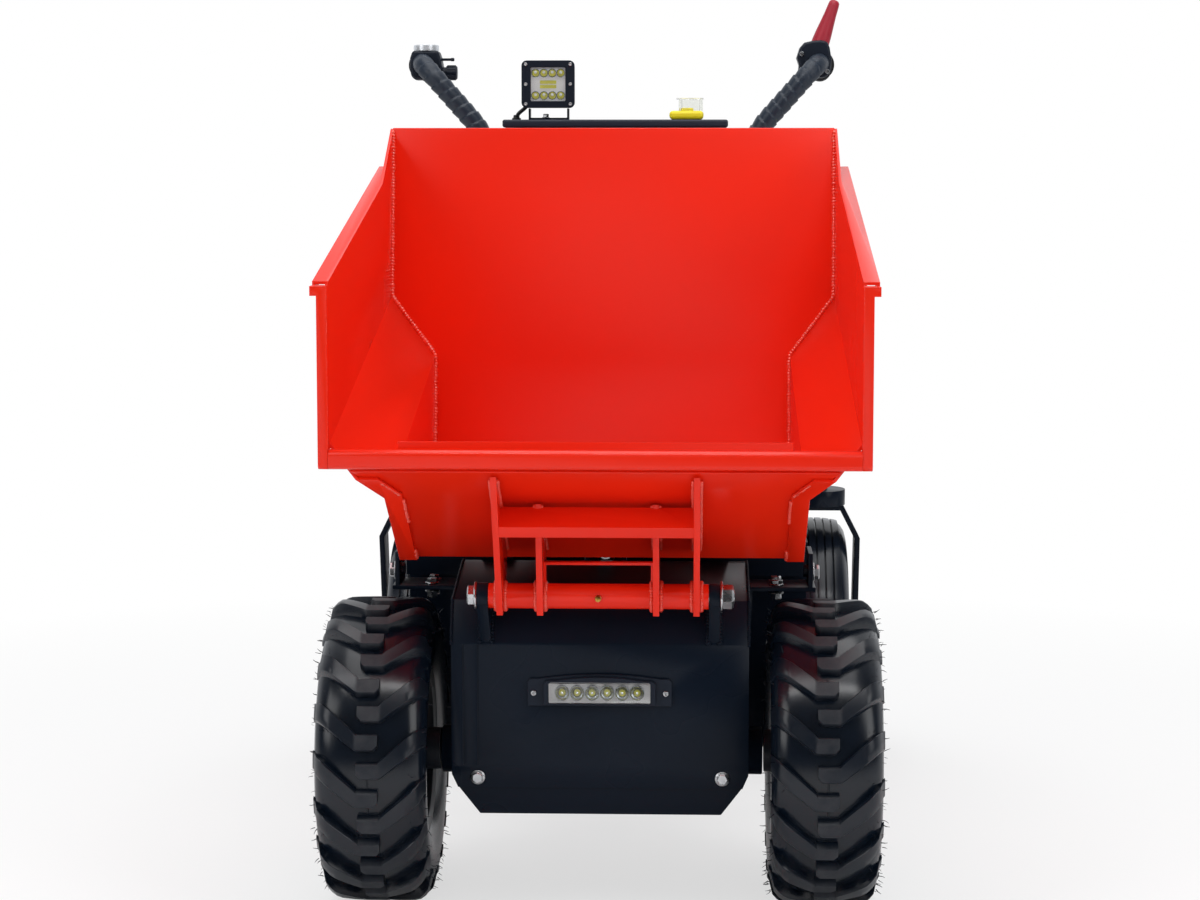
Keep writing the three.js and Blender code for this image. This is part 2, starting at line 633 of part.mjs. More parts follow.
function pivotBolt() {
  const lugOut = PIVOT_TUBE_HALF + RUNNING_GAP + LUG_THICKNESS + GAP;
  const at = (x) => [x, PIVOT_Y, PIVOT_Z];
  return join(
    rod(PIVOT_BOLT_RADIUS, at(-lugOut - 1), at(lugOut + 1), 24),
    rod(16, at(-lugOut - 11), at(-lugOut), 6),
    rod(18, at(lugOut), at(lugOut + 3)),
    rod(17, at(lugOut + 2), at(lugOut + 18), 6));
}

const chassis = new THREE.Group();
chassis.position.z = FRONT_TYRE_RADIUS;
machine.add(chassis);
addNode(chassis, 'front_fascia', fascia(), 'blackPaint');
addNode(chassis, 'front_box', frontBox(), 'blackPaint');
addNode(chassis, 'skid_plate', skidPlate(), 'blackPaint');
addNode(chassis, 'drive_axle', driveAxle(), 'blackPaint');
addNode(chassis, 'pivot_bolt', pivotBolt(), 'zinc');

// ---------------------------------------------------------------- light bar
function lightBody() {
  const height = LIGHT_BODY_HEIGHT / 2;
  const housing = box(-LIGHT_BODY_HALF, LIGHT_BODY_HALF, FASCIA_Y - LIGHT_STAND_OUT,
    FASCIA_Y - LIGHT_STAND_OUT + LIGHT_BODY_DEPTH, LIGHT_BAR_Z - height, LIGHT_BAR_Z + height);
  const [z0, z1] = [LIGHT_BAR_Z - LIGHT_BEZEL_HEIGHT / 2, LIGHT_BAR_Z + LIGHT_BEZEL_HEIGHT / 2];
  const bezel = box(-LIGHT_BEZEL_HALF, LIGHT_BEZEL_HALF, FASCIA_Y - LIGHT_BEZEL_SHEET - GAP,
    FASCIA_Y - GAP, z0, z1);
  return join(housing, bezel);
}

function lightLens() {
  const height = LIGHT_BODY_HEIGHT / 2 - 2;
  return box(-LIGHT_BODY_HALF + 2, LIGHT_BODY_HALF - 2, FASCIA_Y - LIGHT_STAND_OUT - 3,
    FASCIA_Y - LIGHT_STAND_OUT - GAP, LIGHT_BAR_Z - height, LIGHT_BAR_Z + height);
}

addNode(chassis, 'light_bar_body', lightBody(), 'blackPlastic');
addNode(chassis, 'light_bar_lens', lightLens(), 'clearPlastic');

// ---------------------------------------------------------------- frame
function mainFrame() {
  const front = BOX_REAR_Y + GAP;
  const beamRearY = beamFrontY + BEAM_WIDTH;
  const [railIn, railOut] = [RAIL_X - RAIL_WIDTH / 2, RAIL_X + RAIL_WIDTH / 2];
  const rail = box(railIn, railOut, front, beamRearY, RAIL_BOTTOM_Z, RAIL_TOP_Z);
  const upright = box(railIn, railOut, beamFrontY, beamRearY, RAIL_BOTTOM_Z, beamBottomZ + 1);
  const beamHalf = CASTER_X + BEAM_OVERHANG;
  const beam = box(-beamHalf, beamHalf, beamFrontY, beamRearY, beamBottomZ, beamTopZ);
  const swivelAt = (z) => [CASTER_X, SWIVEL_Y, z];
  const head = rod(HEAD_RADIUS, swivelAt(beamBottomZ - HEAD_HEIGHT + RUNNING_GAP),
    swivelAt(beamBottomZ + 1), 24);
  const bore = rod(KINGPIN_RADIUS + RUNNING_GAP, swivelAt(-SPAN), swivelAt(SPAN), 24);
  const crossAt = (y) => box(-RAIL_X, RAIL_X, y - 20, y + 20, RAIL_BOTTOM_Z, RAIL_TOP_Z);
  const guardY = FRONT_TYRE_RADIUS + GUARD_GAP;
  const stub = box(LIFT_BARREL_RADIUS + STUB_CLEARANCE, GUARD_X, guardY - 40, guardY + 1,
    RAIL_BOTTOM_Z, RAIL_TOP_Z);
  const guard = box(RAIL_X, GUARD_X, guardY, guardY + GUARD_SHEET, GUARD_BOTTOM_Z, RAIL_TOP_Z);
  const webY = LIFT_FOOT_Y + 56;
  const web = box(-RAIL_X, RAIL_X, webY, webY + WEB_SHEET, WEB_BOTTOM_Z, RAIL_BOTTOM_Z + 1);
  const half = LIFT_EYE_WIDTH / 2 + 2;
  const hanger = acrossX([
    [LIFT_FOOT_Y + 20, RAIL_BOTTOM_Z + 1], [LIFT_FOOT_Y - 15, LIFT_FOOT_Z - 15],
    [LIFT_FOOT_Y + 15, LIFT_FOOT_Z - 15], [LIFT_FOOT_Y + 58, RAIL_BOTTOM_Z + 1],
  ], half, half + 8);
  const pin = rod(LIFT_PIN_RADIUS, [-half - 12, LIFT_FOOT_Y, LIFT_FOOT_Z],
    [half + 12, LIFT_FOOT_Y, LIFT_FOOT_Z]);
  const body = join(rail, mirrored(rail), upright, mirrored(upright), beam, head, mirrored(head),
    crossAt(LIFT_FOOT_Y + 40), crossAt(SWIVEL_Y), stub, mirrored(stub), guard, mirrored(guard),
    web, hanger, mirrored(hanger), pin);
  return cut(body, bore, mirrored(bore));
}

function bucketRest() {
  const arm = box(BOX_HALF + GAP, REST_X + 4, REST_FRONT_Y, REST_FRONT_Y + REST_LENGTH,
    restBottomZ, restBottomZ + REST_PLATE);
  const foot = box(BOX_HALF + GAP, BOX_HALF + GAP + REST_PLATE, REST_FRONT_Y, REST_FRONT_Y + REST_LENGTH,
    restBottomZ - 60, restBottomZ + 1);
  const plate = box(REST_X - REST_PLATE, REST_X, REST_FRONT_Y, REST_FRONT_Y + REST_LENGTH,
    restBottomZ, REST_TOP_Z);
  const boltAt = (x) => [x, REST_FRONT_Y + 20, (restBottomZ + REST_TOP_Z) / 2];
  const bolt = rod(9, boltAt(REST_X - REST_PLATE - 6), boltAt(REST_X + 6), 6);
  return join(arm, foot, plate, bolt);
}

addNode(chassis, 'main_frame', mainFrame(), 'blackPaint');
const rest = bucketRest();
addNode(chassis, 'bucket_rest_left', rest, 'blackPaint');
addNode(chassis, 'bucket_rest_right', mirrored(rest), 'blackPaint');

// ---------------------------------------------------------------- console
function consoleBox() {
  const [x, y0, y1] = [CONSOLE_HALF, consoleFrontY, consoleRearY];
  const bottom = RAIL_TOP_Z + GAP;
  const t = CONSOLE_SHEET;
  return cut(box(-x, x, y0, y1, bottom, CONSOLE_TOP_Z), box(-x + t, x - t, y0 + t, y1 - t, bottom + t, SPAN));
}

function consoleLid() {
  const [x, y0, y1] = [CONSOLE_HALF + LID_OVERHANG, consoleFrontY - LID_OVERHANG,
    consoleRearY + LID_OVERHANG];
  return box(-x, x, y0, y1, CONSOLE_TOP_Z + GAP, CONSOLE_TOP_Z + GAP + LID_THICKNESS);
}

function batteryPack() {
  const bottom = RAIL_TOP_Z + CONSOLE_SHEET + 2 * GAP;
  const half = CONSOLE_HALF - CONSOLE_INSET;
  return box(-half, half, consoleFrontY + CONSOLE_INSET, consoleRearY - CONSOLE_INSET,
    bottom, bottom + BATTERY_HEIGHT);
}

addNode(chassis, 'console_box', consoleBox(), 'blackPaint');
addNode(chassis, 'console_lid', consoleLid(), 'blackPaint');
addNode(chassis, 'battery_pack', batteryPack(), 'battery');

// ---------------------------------------------------------------- work lamp on the lid
const lamp = new THREE.Group();
lamp.position.set(LAMP_X, consoleFrontY + LAMP_FROM_EDGE, LAMP_CENTRE_Z);
chassis.add(lamp);

function lampBracket() {
  const footZ = lidTop + GAP - LAMP_CENTRE_Z;
  const leg = box(LAMP_LEG_X, LAMP_LEG_X + LAMP_LEG, -6, 14, footZ, -LAMP_HEIGHT / 2 - GAP);
  const foot = box(-LAMP_LEG_X - 1, LAMP_LEG_X + 1, -6, 14, footZ, footZ + LAMP_LEG);
  return join(leg, mirrored(leg), foot);
}

addNode(lamp, 'work_lamp_bracket', lampBracket(), 'blackPaint');
addNode(lamp, 'work_lamp_body', box(-LAMP_WIDTH / 2, LAMP_WIDTH / 2, -LAMP_DEPTH / 2 + 3, LAMP_DEPTH / 2,
  -LAMP_HEIGHT / 2, LAMP_HEIGHT / 2), 'blackPlastic');
addNode(lamp, 'work_lamp_lens', box(-LAMP_WIDTH / 2 + 6, LAMP_WIDTH / 2 - 6, -LAMP_DEPTH / 2,
  -LAMP_DEPTH / 2 + 3 - GAP, -LAMP_HEIGHT / 2 + 6, LAMP_HEIGHT / 2 - 6), 'clearPlastic');

function lampLead() {
  const path = new THREE.CatmullRomCurve3([
    new THREE.Vector3(-27, LAMP_DEPTH / 2 + GAP, -20),
    new THREE.Vector3(-27, LAMP_DEPTH / 2 + 8, -20),
    new THREE.Vector3(-38, LAMP_DEPTH / 2 + 11, -34),
    new THREE.Vector3(-49, LAMP_DEPTH / 2 + 8, -44),
    new THREE.Vector3(-52, LAMP_DEPTH / 2 + 6, lidTop + GAP - LAMP_CENTRE_Z + 4),
    new THREE.Vector3(-52, LAMP_DEPTH / 2 + 6, lidTop + GAP - LAMP_CENTRE_Z),
  ]);
  return sweptBar(path, LEAD_RADIUS, 8, 20);
}
addNode(lamp, 'work_lamp_lead', lampLead(), 'rubber');

// ---------------------------------------------------------------- guarded switch
const guardedSwitch = new THREE.Group();
guardedSwitch.position.set(SWITCH_X, consoleFrontY + SWITCH_FROM_EDGE, lidTop + GAP);
chassis.add(guardedSwitch);
addNode(guardedSwitch, 'switch_base', box(-SWITCH_WIDTH / 2, SWITCH_WIDTH / 2, -SWITCH_LENGTH / 2,
  SWITCH_LENGTH / 2, 0, SWITCH_HEIGHT), 'yellowPlastic');
const coverBottom = SWITCH_HEIGHT + GAP;
addNode(guardedSwitch, 'switch_cover', box(COVER_SHIFT - COVER_HALF, COVER_SHIFT + COVER_HALF,
  4 - SWITCH_LENGTH / 2, SWITCH_LENGTH / 2 - 4, coverBottom, coverBottom + COVER_HEIGHT), 'clearPlastic');

// ---------------------------------------------------------------- handlebars
function handlebar(gap) {
  const foot = beamTopZ + GAP;
  const path = new THREE.CurvePath();
  const corners = [
    [BAR_FOOT_X, barY, foot],
    [BAR_FOOT_X, barY, BAR_BEND_Z],
    [BAR_TOP_X, barY + 10, BAR_TOP_Z],
    [BAR_TOP_X + GRIP_SPREAD, barY + GRIP_END - 6 + gap, BAR_TOP_Z - GRIP_DROP],
  ].map((point) => new THREE.Vector3(...point));
  const round = [0, 60, 45, 0];
  let from = corners[0];
  for (let i = 1; i < corners.length; i += 1) {
    const corner = corners[i];
    const back = corners[i - 1].clone().sub(corner).setLength(round[i]).add(corner);
    path.add(new THREE.LineCurve3(from, back));
    if (round[i] > 0) {
      const on = corners[i + 1].clone().sub(corner).setLength(round[i]).add(corner);
      path.add(new THREE.QuadraticBezierCurve3(back, corner, on));
      from = on;
    }
  }
  return sweptBar(path, BAR_RADIUS + gap, 12, 30);
}

function grip() {
  const top = [BAR_TOP_X, barY + 10, BAR_TOP_Z];
  const end = [BAR_TOP_X + GRIP_SPREAD, barY + GRIP_END, BAR_TOP_Z - GRIP_DROP];
  const from = (barY + GRIP_START - top[1]) / (end[1] - top[1]);
  return rod(GRIP_RADIUS, top.map((value, i) => value + (end[i] - value) * from), end);
}

const bar = handlebar(0);
const barSpace = handlebar(GAP);
const gripSleeve = cut(grip(), barSpace);

addNode(chassis, 'handlebar_left', bar, 'blackPlastic');
addNode(chassis, 'handlebar_right', mirrored(bar), 'blackPlastic');
addNode(chassis, 'grip_left', gripSleeve, 'blackPlastic');
addNode(chassis, 'grip_right', mirrored(gripSleeve), 'blackPlastic');

function brakeClamp() {
  return cut(box(BAR_TOP_X - CLAMP_IN, BAR_TOP_X + CLAMP_OUT, controlY, controlEnd,
    controlBottomZ, clampTopZ), barSpace);
}

// A tapered sleeve that leans outwards from the top of its clamp.
function brakeLever() {
  const base = new THREE.Vector3(BAR_TOP_X + LEVER_BASE_OUT, controlMiddle, clampTopZ + GAP);
  const tip = new THREE.Vector3(BAR_TOP_X + LEVER_TIP_OUT, controlMiddle, clampTopZ + LEVER_RISE);
  const length = base.distanceTo(tip) + 8;
  const sleeve = new THREE.CylinderGeometry(LEVER_TIP_RADIUS, LEVER_BASE_RADIUS, length, 20);
  sleeve.applyQuaternion(new THREE.Quaternion().setFromUnitVectors(
    new THREE.Vector3(0, 1, 0), tip.clone().sub(base).normalize()));
  sleeve.translate(...base.clone().lerp(tip, 0.5).toArray());
  return cut(solid(sleeve), box(0, SPAN, 0, SPAN, -SPAN, clampTopZ + GAP));
}

function throttleHousing() {
  const innerX = BAR_TOP_X - THROTTLE_IN;
  const body = box(innerX, BAR_TOP_X + THROTTLE_OUT, controlY, controlEnd,
    controlBottomZ, BAR_TOP_Z + THROTTLE_ABOVE);
  const knobAt = (x) => [x, controlMiddle, BAR_TOP_Z - KNOB_BELOW];
  const knob = rod(KNOB_RADIUS, knobAt(BAR_TOP_X - KNOB_REACH), knobAt(innerX + 1));
  return cut(join(body, knob), barSpace);
}

function chargeGauge() {
  const bottom = BAR_TOP_Z + THROTTLE_ABOVE + GAP;
  const at = (z) => [BAR_TOP_X - GAUGE_IN, controlMiddle, z];
  return rod(GAUGE_RADIUS, at(bottom), at(bottom + GAUGE_HEIGHT), 28);
}

addNode(chassis, 'brake_clamp', brakeClamp(), 'blackPlastic');
addNode(chassis, 'brake_lever', brakeLever(), 'redRubber');
addNode(chassis, 'throttle_housing', mirrored(throttleHousing()), 'blackPlastic');
addNode(chassis, 'charge_gauge', mirrored(chargeGauge()), 'zinc');

// ---------------------------------------------------------------- lift cylinder
// Built along its own +X axis from the foot pin at the origin, then turned into place.
const liftLength = Math.hypot(LIFT_EYE_Y - LIFT_FOOT_Y, LIFT_EYE_Z - LIFT_FOOT_Z);
const lift = new THREE.Group();
lift.position.set(0, LIFT_FOOT_Y, FRONT_TYRE_RADIUS + LIFT_FOOT_Z);
lift.rotation.x = Math.atan2(LIFT_EYE_Z - LIFT_FOOT_Z, LIFT_EYE_Y - LIFT_FOOT_Y);
machine.add(lift);

function liftEye(at) {
  return cut(
    rod(14, [-LIFT_EYE_WIDTH / 2, at, 0], [LIFT_EYE_WIDTH / 2, at, 0], 24),
    rod(LIFT_PIN_RADIUS + RUNNING_GAP, [-SPAN, at, 0], [SPAN, at, 0], 24));
}

function liftBarrel() {
  const tube = rod(LIFT_BARREL_RADIUS, [0, LIFT_BARREL_START, 0],
    [0, LIFT_BARREL_START + LIFT_BARREL_LENGTH, 0], 24);
  const neck = box(-LIFT_EYE_WIDTH / 2, LIFT_EYE_WIDTH / 2, 10, LIFT_BARREL_START + 8, -10, 10);
  const bore = rod(LIFT_ROD_RADIUS + RUNNING_GAP, [0, LIFT_ROD_START - 6, 0], [0, SPAN, 0], 24);
  return cut(join(liftEye(0), neck, tube), bore);
}

function liftRod() {
  return join(
    rod(LIFT_ROD_RADIUS, [0, LIFT_ROD_START, 0], [0, liftLength - 8, 0], 24),
    rod(14, [-LIFT_EYE_WIDTH / 2, liftLength, 0], [LIFT_EYE_WIDTH / 2, liftLength, 0], 20));
}

addNode(lift, 'lift_barrel', liftBarrel(), 'blackPaint');
addNode(lift, 'lift_rod', liftRod(), 'zinc');

// ---------------------------------------------------------------- wheels
const WHEEL_SIDES = 28;               // tyre and rim alike, so that their facets line up

function tyreProfile(radius, halfWidth, rimHalf) {
  const bead = RIM_RADIUS + GAP;
  const flangeTop = RIM_RADIUS + RIM_FLANGE + GAP;
  const seat = rimHalf - 4 - GAP;
  const half = [
    [bead, seat],
    [flangeTop, seat],
    [flangeTop + 8, seat + 4],
    [flangeTop + (radius - flangeTop) * 0.5, halfWidth],
    [radius * 0.95, halfWidth * 0.96],
    [radius * 0.985, halfWidth * 0.84],
    [radius, halfWidth * 0.55],
  ];
  const otherHalf = half.map(([r, x]) => [r, -x]).reverse();
  return half.concat(otherHalf, [half[0]]);
}

function rimProfile(rimHalf, hubIn, hubOut, boreRadius, discX) {
  const barrel = RIM_RADIUS;
  const flange = RIM_RADIUS + RIM_FLANGE;
  const inner = RIM_RADIUS - 5;
  return [
    [boreRadius, hubIn], [HUB_RADIUS, hubIn], [HUB_RADIUS, discX - 4], [inner, discX - 4],
    [inner, -rimHalf], [flange, -rimHalf], [flange, -rimHalf + 4], [barrel, -rimHalf + 4],
    [barrel, rimHalf - 4], [flange, rimHalf - 4], [flange, rimHalf], [inner, rimHalf],
    [inner, discX + 4], [HUB_RADIUS, discX + 4], [HUB_RADIUS, hubOut], [boreRadius, hubOut],
    [boreRadius, hubIn],
  ];
}

function addFrontWheel(name, sideSign) {
  const wheel = new THREE.Group();
  wheel.position.set(sideSign * FRONT_WHEEL_X, 0, FRONT_TYRE_RADIUS);
  machine.add(wheel);
  const tyre = turned(tyreProfile(FRONT_TYRE_RADIUS, FRONT_TYRE_WIDTH / 2, FRONT_RIM_HALF), WHEEL_SIDES);
  const rim = turned(rimProfile(FRONT_RIM_HALF, -HUB_REACH, HUB_FACE, 0, FRONT_DISC_X), WHEEL_SIDES);
  addNode(wheel, `front_tyre_${name}`, tyre, 'rubber');
  addNode(wheel, `front_rim_${name}`, sideSign > 0 ? rim : mirrored(rim), 'rimPaint');
}
addFrontWheel('left', 1);
addFrontWheel('right', -1);

function fork() {
  const armX = CASTER_WIDTH / 2 + FORK_CLEARANCE;
  const shoulderZ = crownZ - FORK_SHOULDER;
  const outerArm = armX + FORK_BAR;
  const foot = CASTER_RADIUS - 22;
  const line = [
    [-outerArm, foot], [-outerArm, shoulderZ], [-FORK_CROWN_HALF, crownZ],
    [FORK_CROWN_HALF, crownZ], [outerArm, shoulderZ], [outerArm, foot],
  ];
  const lean = CASTER_TRAIL / (crownZ - CASTER_RADIUS);
  const flat = alongY(bentSheet(line, -FORK_BAR), -FORK_BAR_WIDTH / 2, FORK_BAR_WIDTH / 2);
  const bentBar = flat.transform([1, 0, 0, 0, 0, 1, 0, 0, 0, -lean, 1, 0, 0, crownZ * lean, 0, 1]);
  const turntable = rod(TURNTABLE_RADIUS, [0, 0, crownZ - 1],
    [0, 0, crownZ + TURNTABLE_HEIGHT], 28);
  const beamTop = beamTopZ + FRONT_TYRE_RADIUS;
  const kingpin = rod(KINGPIN_RADIUS, [0, 0, crownZ], [0, 0, beamTop + 6], 24);
  const nut = rod(16, [0, 0, beamTop + 2], [0, 0, beamTop + 16], 6);
  const axle = rod(CASTER_AXLE_RADIUS, [-outerArm - 4, CASTER_TRAIL, CASTER_RADIUS],
    [outerArm + 4, CASTER_TRAIL, CASTER_RADIUS], 24);
  const cap = rod(13, [outerArm, CASTER_TRAIL, CASTER_RADIUS],
    [outerArm + 8, CASTER_TRAIL, CASTER_RADIUS], 6);
  return join(bentBar, turntable, kingpin, nut, axle, cap, mirrored(cap));
}

function addCaster(name, sideSign) {
  const caster = new THREE.Group();
  caster.position.set(sideSign * CASTER_X, SWIVEL_Y, 0);
  machine.add(caster);
  addNode(caster, `caster_fork_${name}`, fork(), 'blackPaint');
  const wheel = new THREE.Group();
  wheel.position.set(0, CASTER_TRAIL, CASTER_RADIUS);
  caster.add(wheel);
  const tyre = turned(tyreProfile(CASTER_RADIUS, CASTER_WIDTH / 2, CASTER_RIM_HALF), WHEEL_SIDES);
  const hubHalf = CASTER_WIDTH / 2 + FORK_CLEARANCE - 2;
  const bore = CASTER_AXLE_RADIUS + RUNNING_GAP;
  const rim = turned(rimProfile(CASTER_RIM_HALF, -hubHalf, hubHalf, bore, 0), WHEEL_SIDES);
  addNode(wheel, `caster_tyre_${name}`, tyre, 'rubber');
  addNode(wheel, `caster_rim_${name}`, rim, 'rimPaint');
}
addCaster('left', 1);
addCaster('right', -1);

// ---------------------------------------------------------------- origin
const extent = new THREE.Box3().setFromObject(machine);
machine.position.y = -(extent.min.y + extent.max.y) / 2;

export default machine;
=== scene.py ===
# %% [markdown]
# # A walk-behind site dumper
# A small electric barrow: a folded red bucket on a black frame, two driven lugged tyres in
# front and two swivel casters behind, with handlebars and a work lamp over a console.
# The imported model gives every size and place. This lesson dresses it: thin sheet edges are
# rounded, welds and bolts are grown along paths, and each finish is built from nodes.

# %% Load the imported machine
import json
import math
import random

import bmesh
import bpy
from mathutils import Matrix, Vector


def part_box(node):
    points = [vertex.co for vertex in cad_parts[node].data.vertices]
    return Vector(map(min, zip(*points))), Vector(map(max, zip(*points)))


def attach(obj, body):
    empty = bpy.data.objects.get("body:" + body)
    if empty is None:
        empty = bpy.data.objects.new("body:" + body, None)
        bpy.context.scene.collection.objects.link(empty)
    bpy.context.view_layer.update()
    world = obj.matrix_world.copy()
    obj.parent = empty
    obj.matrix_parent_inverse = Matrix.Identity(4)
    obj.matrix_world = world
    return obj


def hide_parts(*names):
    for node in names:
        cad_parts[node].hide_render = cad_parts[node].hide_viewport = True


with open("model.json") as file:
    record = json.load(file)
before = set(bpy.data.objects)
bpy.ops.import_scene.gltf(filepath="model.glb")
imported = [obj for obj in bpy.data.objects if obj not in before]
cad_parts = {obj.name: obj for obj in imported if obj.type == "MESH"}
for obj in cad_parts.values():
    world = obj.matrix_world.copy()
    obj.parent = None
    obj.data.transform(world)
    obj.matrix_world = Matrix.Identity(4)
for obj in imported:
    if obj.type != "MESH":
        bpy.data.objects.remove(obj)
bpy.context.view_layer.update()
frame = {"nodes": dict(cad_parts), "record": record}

# %% [markdown]
# Every place below is written as a fitter would measure it: millimetres across the machine,
# behind the front axle, and above the ground. One helper turns that into metres in the scene,
# and the front tyre's own box says where the axle is.

# %% Places in millimetres
wheel_low, wheel_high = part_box("front_tyre_left")
AXLE_Y = (wheel_low.y + wheel_high.y) / 2
MM = 0.001
SIDES = {"left": 1, "right": -1}
BOTH_SIDES = (-1, 1)
ORIGIN = Vector((0, 0, 0))
ACROSS, FRONT, UP, DOWN = (1, 0, 0), (0, -1, 0), (0, 0, 1), (0, 0, -1)
body_of = {node: body for body, nodes in frame["record"]["behaviour"]["bodies"].items()
           for node in nodes}


def at(x, y, z):
    return Vector((x * MM, y * MM + AXLE_Y, z * MM))


# %% [markdown]
# The camera stands about three and a half metres in front, a little above the handlebars,
# and looks slightly down. A long lens keeps the sides of the bucket nearly parallel.

# %% Camera
DIP, TURN = 6.34, 2.015          # degrees: down, and towards the machine's left
camera_data = bpy.data.cameras.new("front_camera")
camera_data.lens = 81
camera_data.sensor_width = 36
camera = bpy.data.objects.new("front_camera", camera_data)
camera.location = (0.122, -3.941, 1.0024)
camera.rotation_euler = (math.radians(90 - DIP), 0, math.radians(TURN))
bpy.context.scene.collection.objects.link(camera)
bpy.context.scene.camera = camera
print("camera", camera_data.lens, "mm")

# %% [markdown]
# A shader tree is easier to read when each node is one line. `add` makes a node, sets its
# properties, and fills its inputs with a value, another node's output, or a node, which
# stands for its first output. Colours are written as screen hex values, and one function
# turns them to the linear light Blender works in.

# %% Node and colour helpers


def add(tree, kind, inputs=None, **settings):
    made = tree.nodes.new(kind)
    for key, value in settings.items():
        setattr(made, key, value)
    for key, value in (inputs or {}).items():
        if isinstance(value, bpy.types.Node):
            value = value.outputs[0]
        if isinstance(value, bpy.types.NodeSocket):
            tree.links.new(value, made.inputs[key])
        else:
            made.inputs[key].default_value = value
    return made


def maths(tree, operation, *values):
    return add(tree, "ShaderNodeMath", dict(enumerate(values)), operation=operation)


def remap(tree, value, from_min, from_max, to_min, to_max):
    return add(tree, "ShaderNodeMapRange", {
        "Value": value, "From Min": from_min, "From Max": from_max, "To Min": to_min,
        "To Max": to_max})


def colour(code):
    parts = [int(code[i:i + 2], 16) / 255 for i in (1, 3, 5)]
    lit = [c / 12.92 if c <= 0.04045 else ((c + 0.055) / 1.055) ** 2.4 for c in parts]
    return (*lit, 1.0)


WHITE = (1, 1, 1, 1)


def new_material(name):
    made = bpy.data.materials.new(name)
    made.use_nodes = True
    made.node_tree.nodes.clear()
    return made, made.node_tree


print("pure white reads", colour("#ffffff"))

# %% Mesh helpers


def raw(name, verts=(), edges=(), faces=()):
    mesh = bpy.data.meshes.new(name)
    mesh.from_pydata([tuple(v) for v in verts], edges, faces)
    obj = bpy.data.objects.new(name, mesh)
    bpy.context.scene.collection.objects.link(obj)
    return obj


def from_shell(name, shell):
    obj = raw(name)
    shell.to_mesh(obj.data)
    shell.free()
    return obj


def mend(mesh):
    """Merges doubled points and turns every face outwards."""
    shell = bmesh.new()
    shell.from_mesh(mesh)
    bmesh.ops.remove_doubles(shell, verts=shell.verts, dist=1e-6)
    bmesh.ops.recalc_face_normals(shell, faces=shell.faces)
    shell.to_mesh(mesh)
    shell.free()


def piece(name, verts, faces, smooth=True):
    obj = raw(name, verts, [], faces)
    mend(obj.data)
    if smooth:
        obj.data.shade_smooth()
    return obj


def settle(obj):
    """Turns the modifiers into plain mesh."""
    graph = bpy.context.evaluated_depsgraph_get()
    obj.data = bpy.data.meshes.new_from_object(obj.evaluated_get(graph))
    obj.modifiers.clear()
    return obj


def soften(obj, radius, segments=2, angle=30):
    """Rounds every edge sharper than the angle in degrees; the radius is in mm."""
    edge = obj.modifiers.new("edge", "BEVEL")
    edge.width = radius * MM
    edge.segments = segments
    edge.limit_method = "ANGLE"
    edge.angle_limit = math.radians(angle)
    edge.harden_normals = True
    obj.data.shade_smooth()
    return settle(obj)


def crease(obj, degrees=35):
    obj.data.set_sharp_from_angle(angle=math.radians(degrees))
    return obj


def join(pieces):
    with bpy.context.temp_override(active_object=pieces[0], selected_editable_objects=pieces,
                                   selected_objects=pieces):
        bpy.ops.object.join()
    return pieces[0]


print("helpers ready")

# %% [markdown]
# The studio: a large soft lamp overhead, a wide one in front on either side, a low fill, and
# a narrow strip that draws a line of light along each edge. The room is bright only behind
# the machine and above it, as in a real studio, so black paint keeps its depth.

# %% Soft lamps
# Each lamp: place, the point it looks at, width and height in metres, watts.
LAMPS = {
    "top_softbox": ((0, -0.2, 3.4), (0, 0.0, 0.5), 2.6, 2.6, 58),
    "left_softbox": ((-2.7, -2.3, 1.9), (0, 0.0, 0.6), 1.6, 2.2, 31),
    "right_softbox": ((2.7, -2.3, 1.9), (0, 0.0, 0.6), 1.6, 2.2, 31),
    "front_fill": ((0, -4.6, 2.2), (0, 0.0, 0.5), 2.6, 1.4, 26),
    "edge_strip": ((0, -2.0, 3.3), (0, -0.4, 0.6), 3.2, 0.3, 40),
}
for lamp_name, (place, aim, width, height, watts) in LAMPS.items():
    lamp_data = bpy.data.lights.new(lamp_name, "AREA")
    lamp_data.shape = "RECTANGLE"
    lamp_data.size = width
    lamp_data.size_y = height
    lamp_data.energy = watts
    lamp = bpy.data.objects.new(lamp_name, lamp_data)
    lamp.location = place
    lamp.visible_glossy = lamp_name != "front_fill"
    lamp.visible_diffuse = lamp_name != "edge_strip"
    lamp.rotation_euler = (Vector(aim) - Vector(place)).to_track_quat("-Z", "Y").to_euler()
    bpy.context.scene.collection.objects.link(lamp)
bpy.context.scene.view_settings.view_transform = "Standard"
print(len(LAMPS), "lamps")

# %% The room
world = bpy.data.worlds.new("pale_room")
bpy.context.scene.world = world
world.use_nodes = True
room = world.node_tree
room.nodes.clear()
direction = add(room, "ShaderNodeTexCoord")
split = add(room, "ShaderNodeSeparateXYZ", {"Vector": direction.outputs["Generated"]})
behind = remap(room, split.outputs["Y"], -0.35, 0.45, 0.16, 0.7)
above = remap(room, split.outputs["Z"], 0.25, 0.8, 0.0, 0.55)
level = maths(room, "MAXIMUM", behind, above)
path = add(room, "ShaderNodeLightPath")
mirrored = remap(room, split.outputs["Y"], -0.2, 0.5, 0.05, 1.0)
strength = add(room, "ShaderNodeMix", {
    "Factor": path.outputs["Is Glossy Ray"], 2: level, 3: mirrored}, data_type="FLOAT")
dim = add(room, "ShaderNodeBackground", {"Color": colour("#f7f9fc"), "Strength": strength})
white = add(room, "ShaderNodeBackground", {"Color": WHITE, "Strength": 1.0})
seen = maths(room, "MAXIMUM", path.outputs["Is Camera Ray"],
             path.outputs["Is Transmission Ray"])
both = add(room, "ShaderNodeMixShader", {0: seen, 1: dim, 2: white})
add(room, "ShaderNodeOutputWorld", {"Surface": both})
print("room nodes", len(room.nodes))

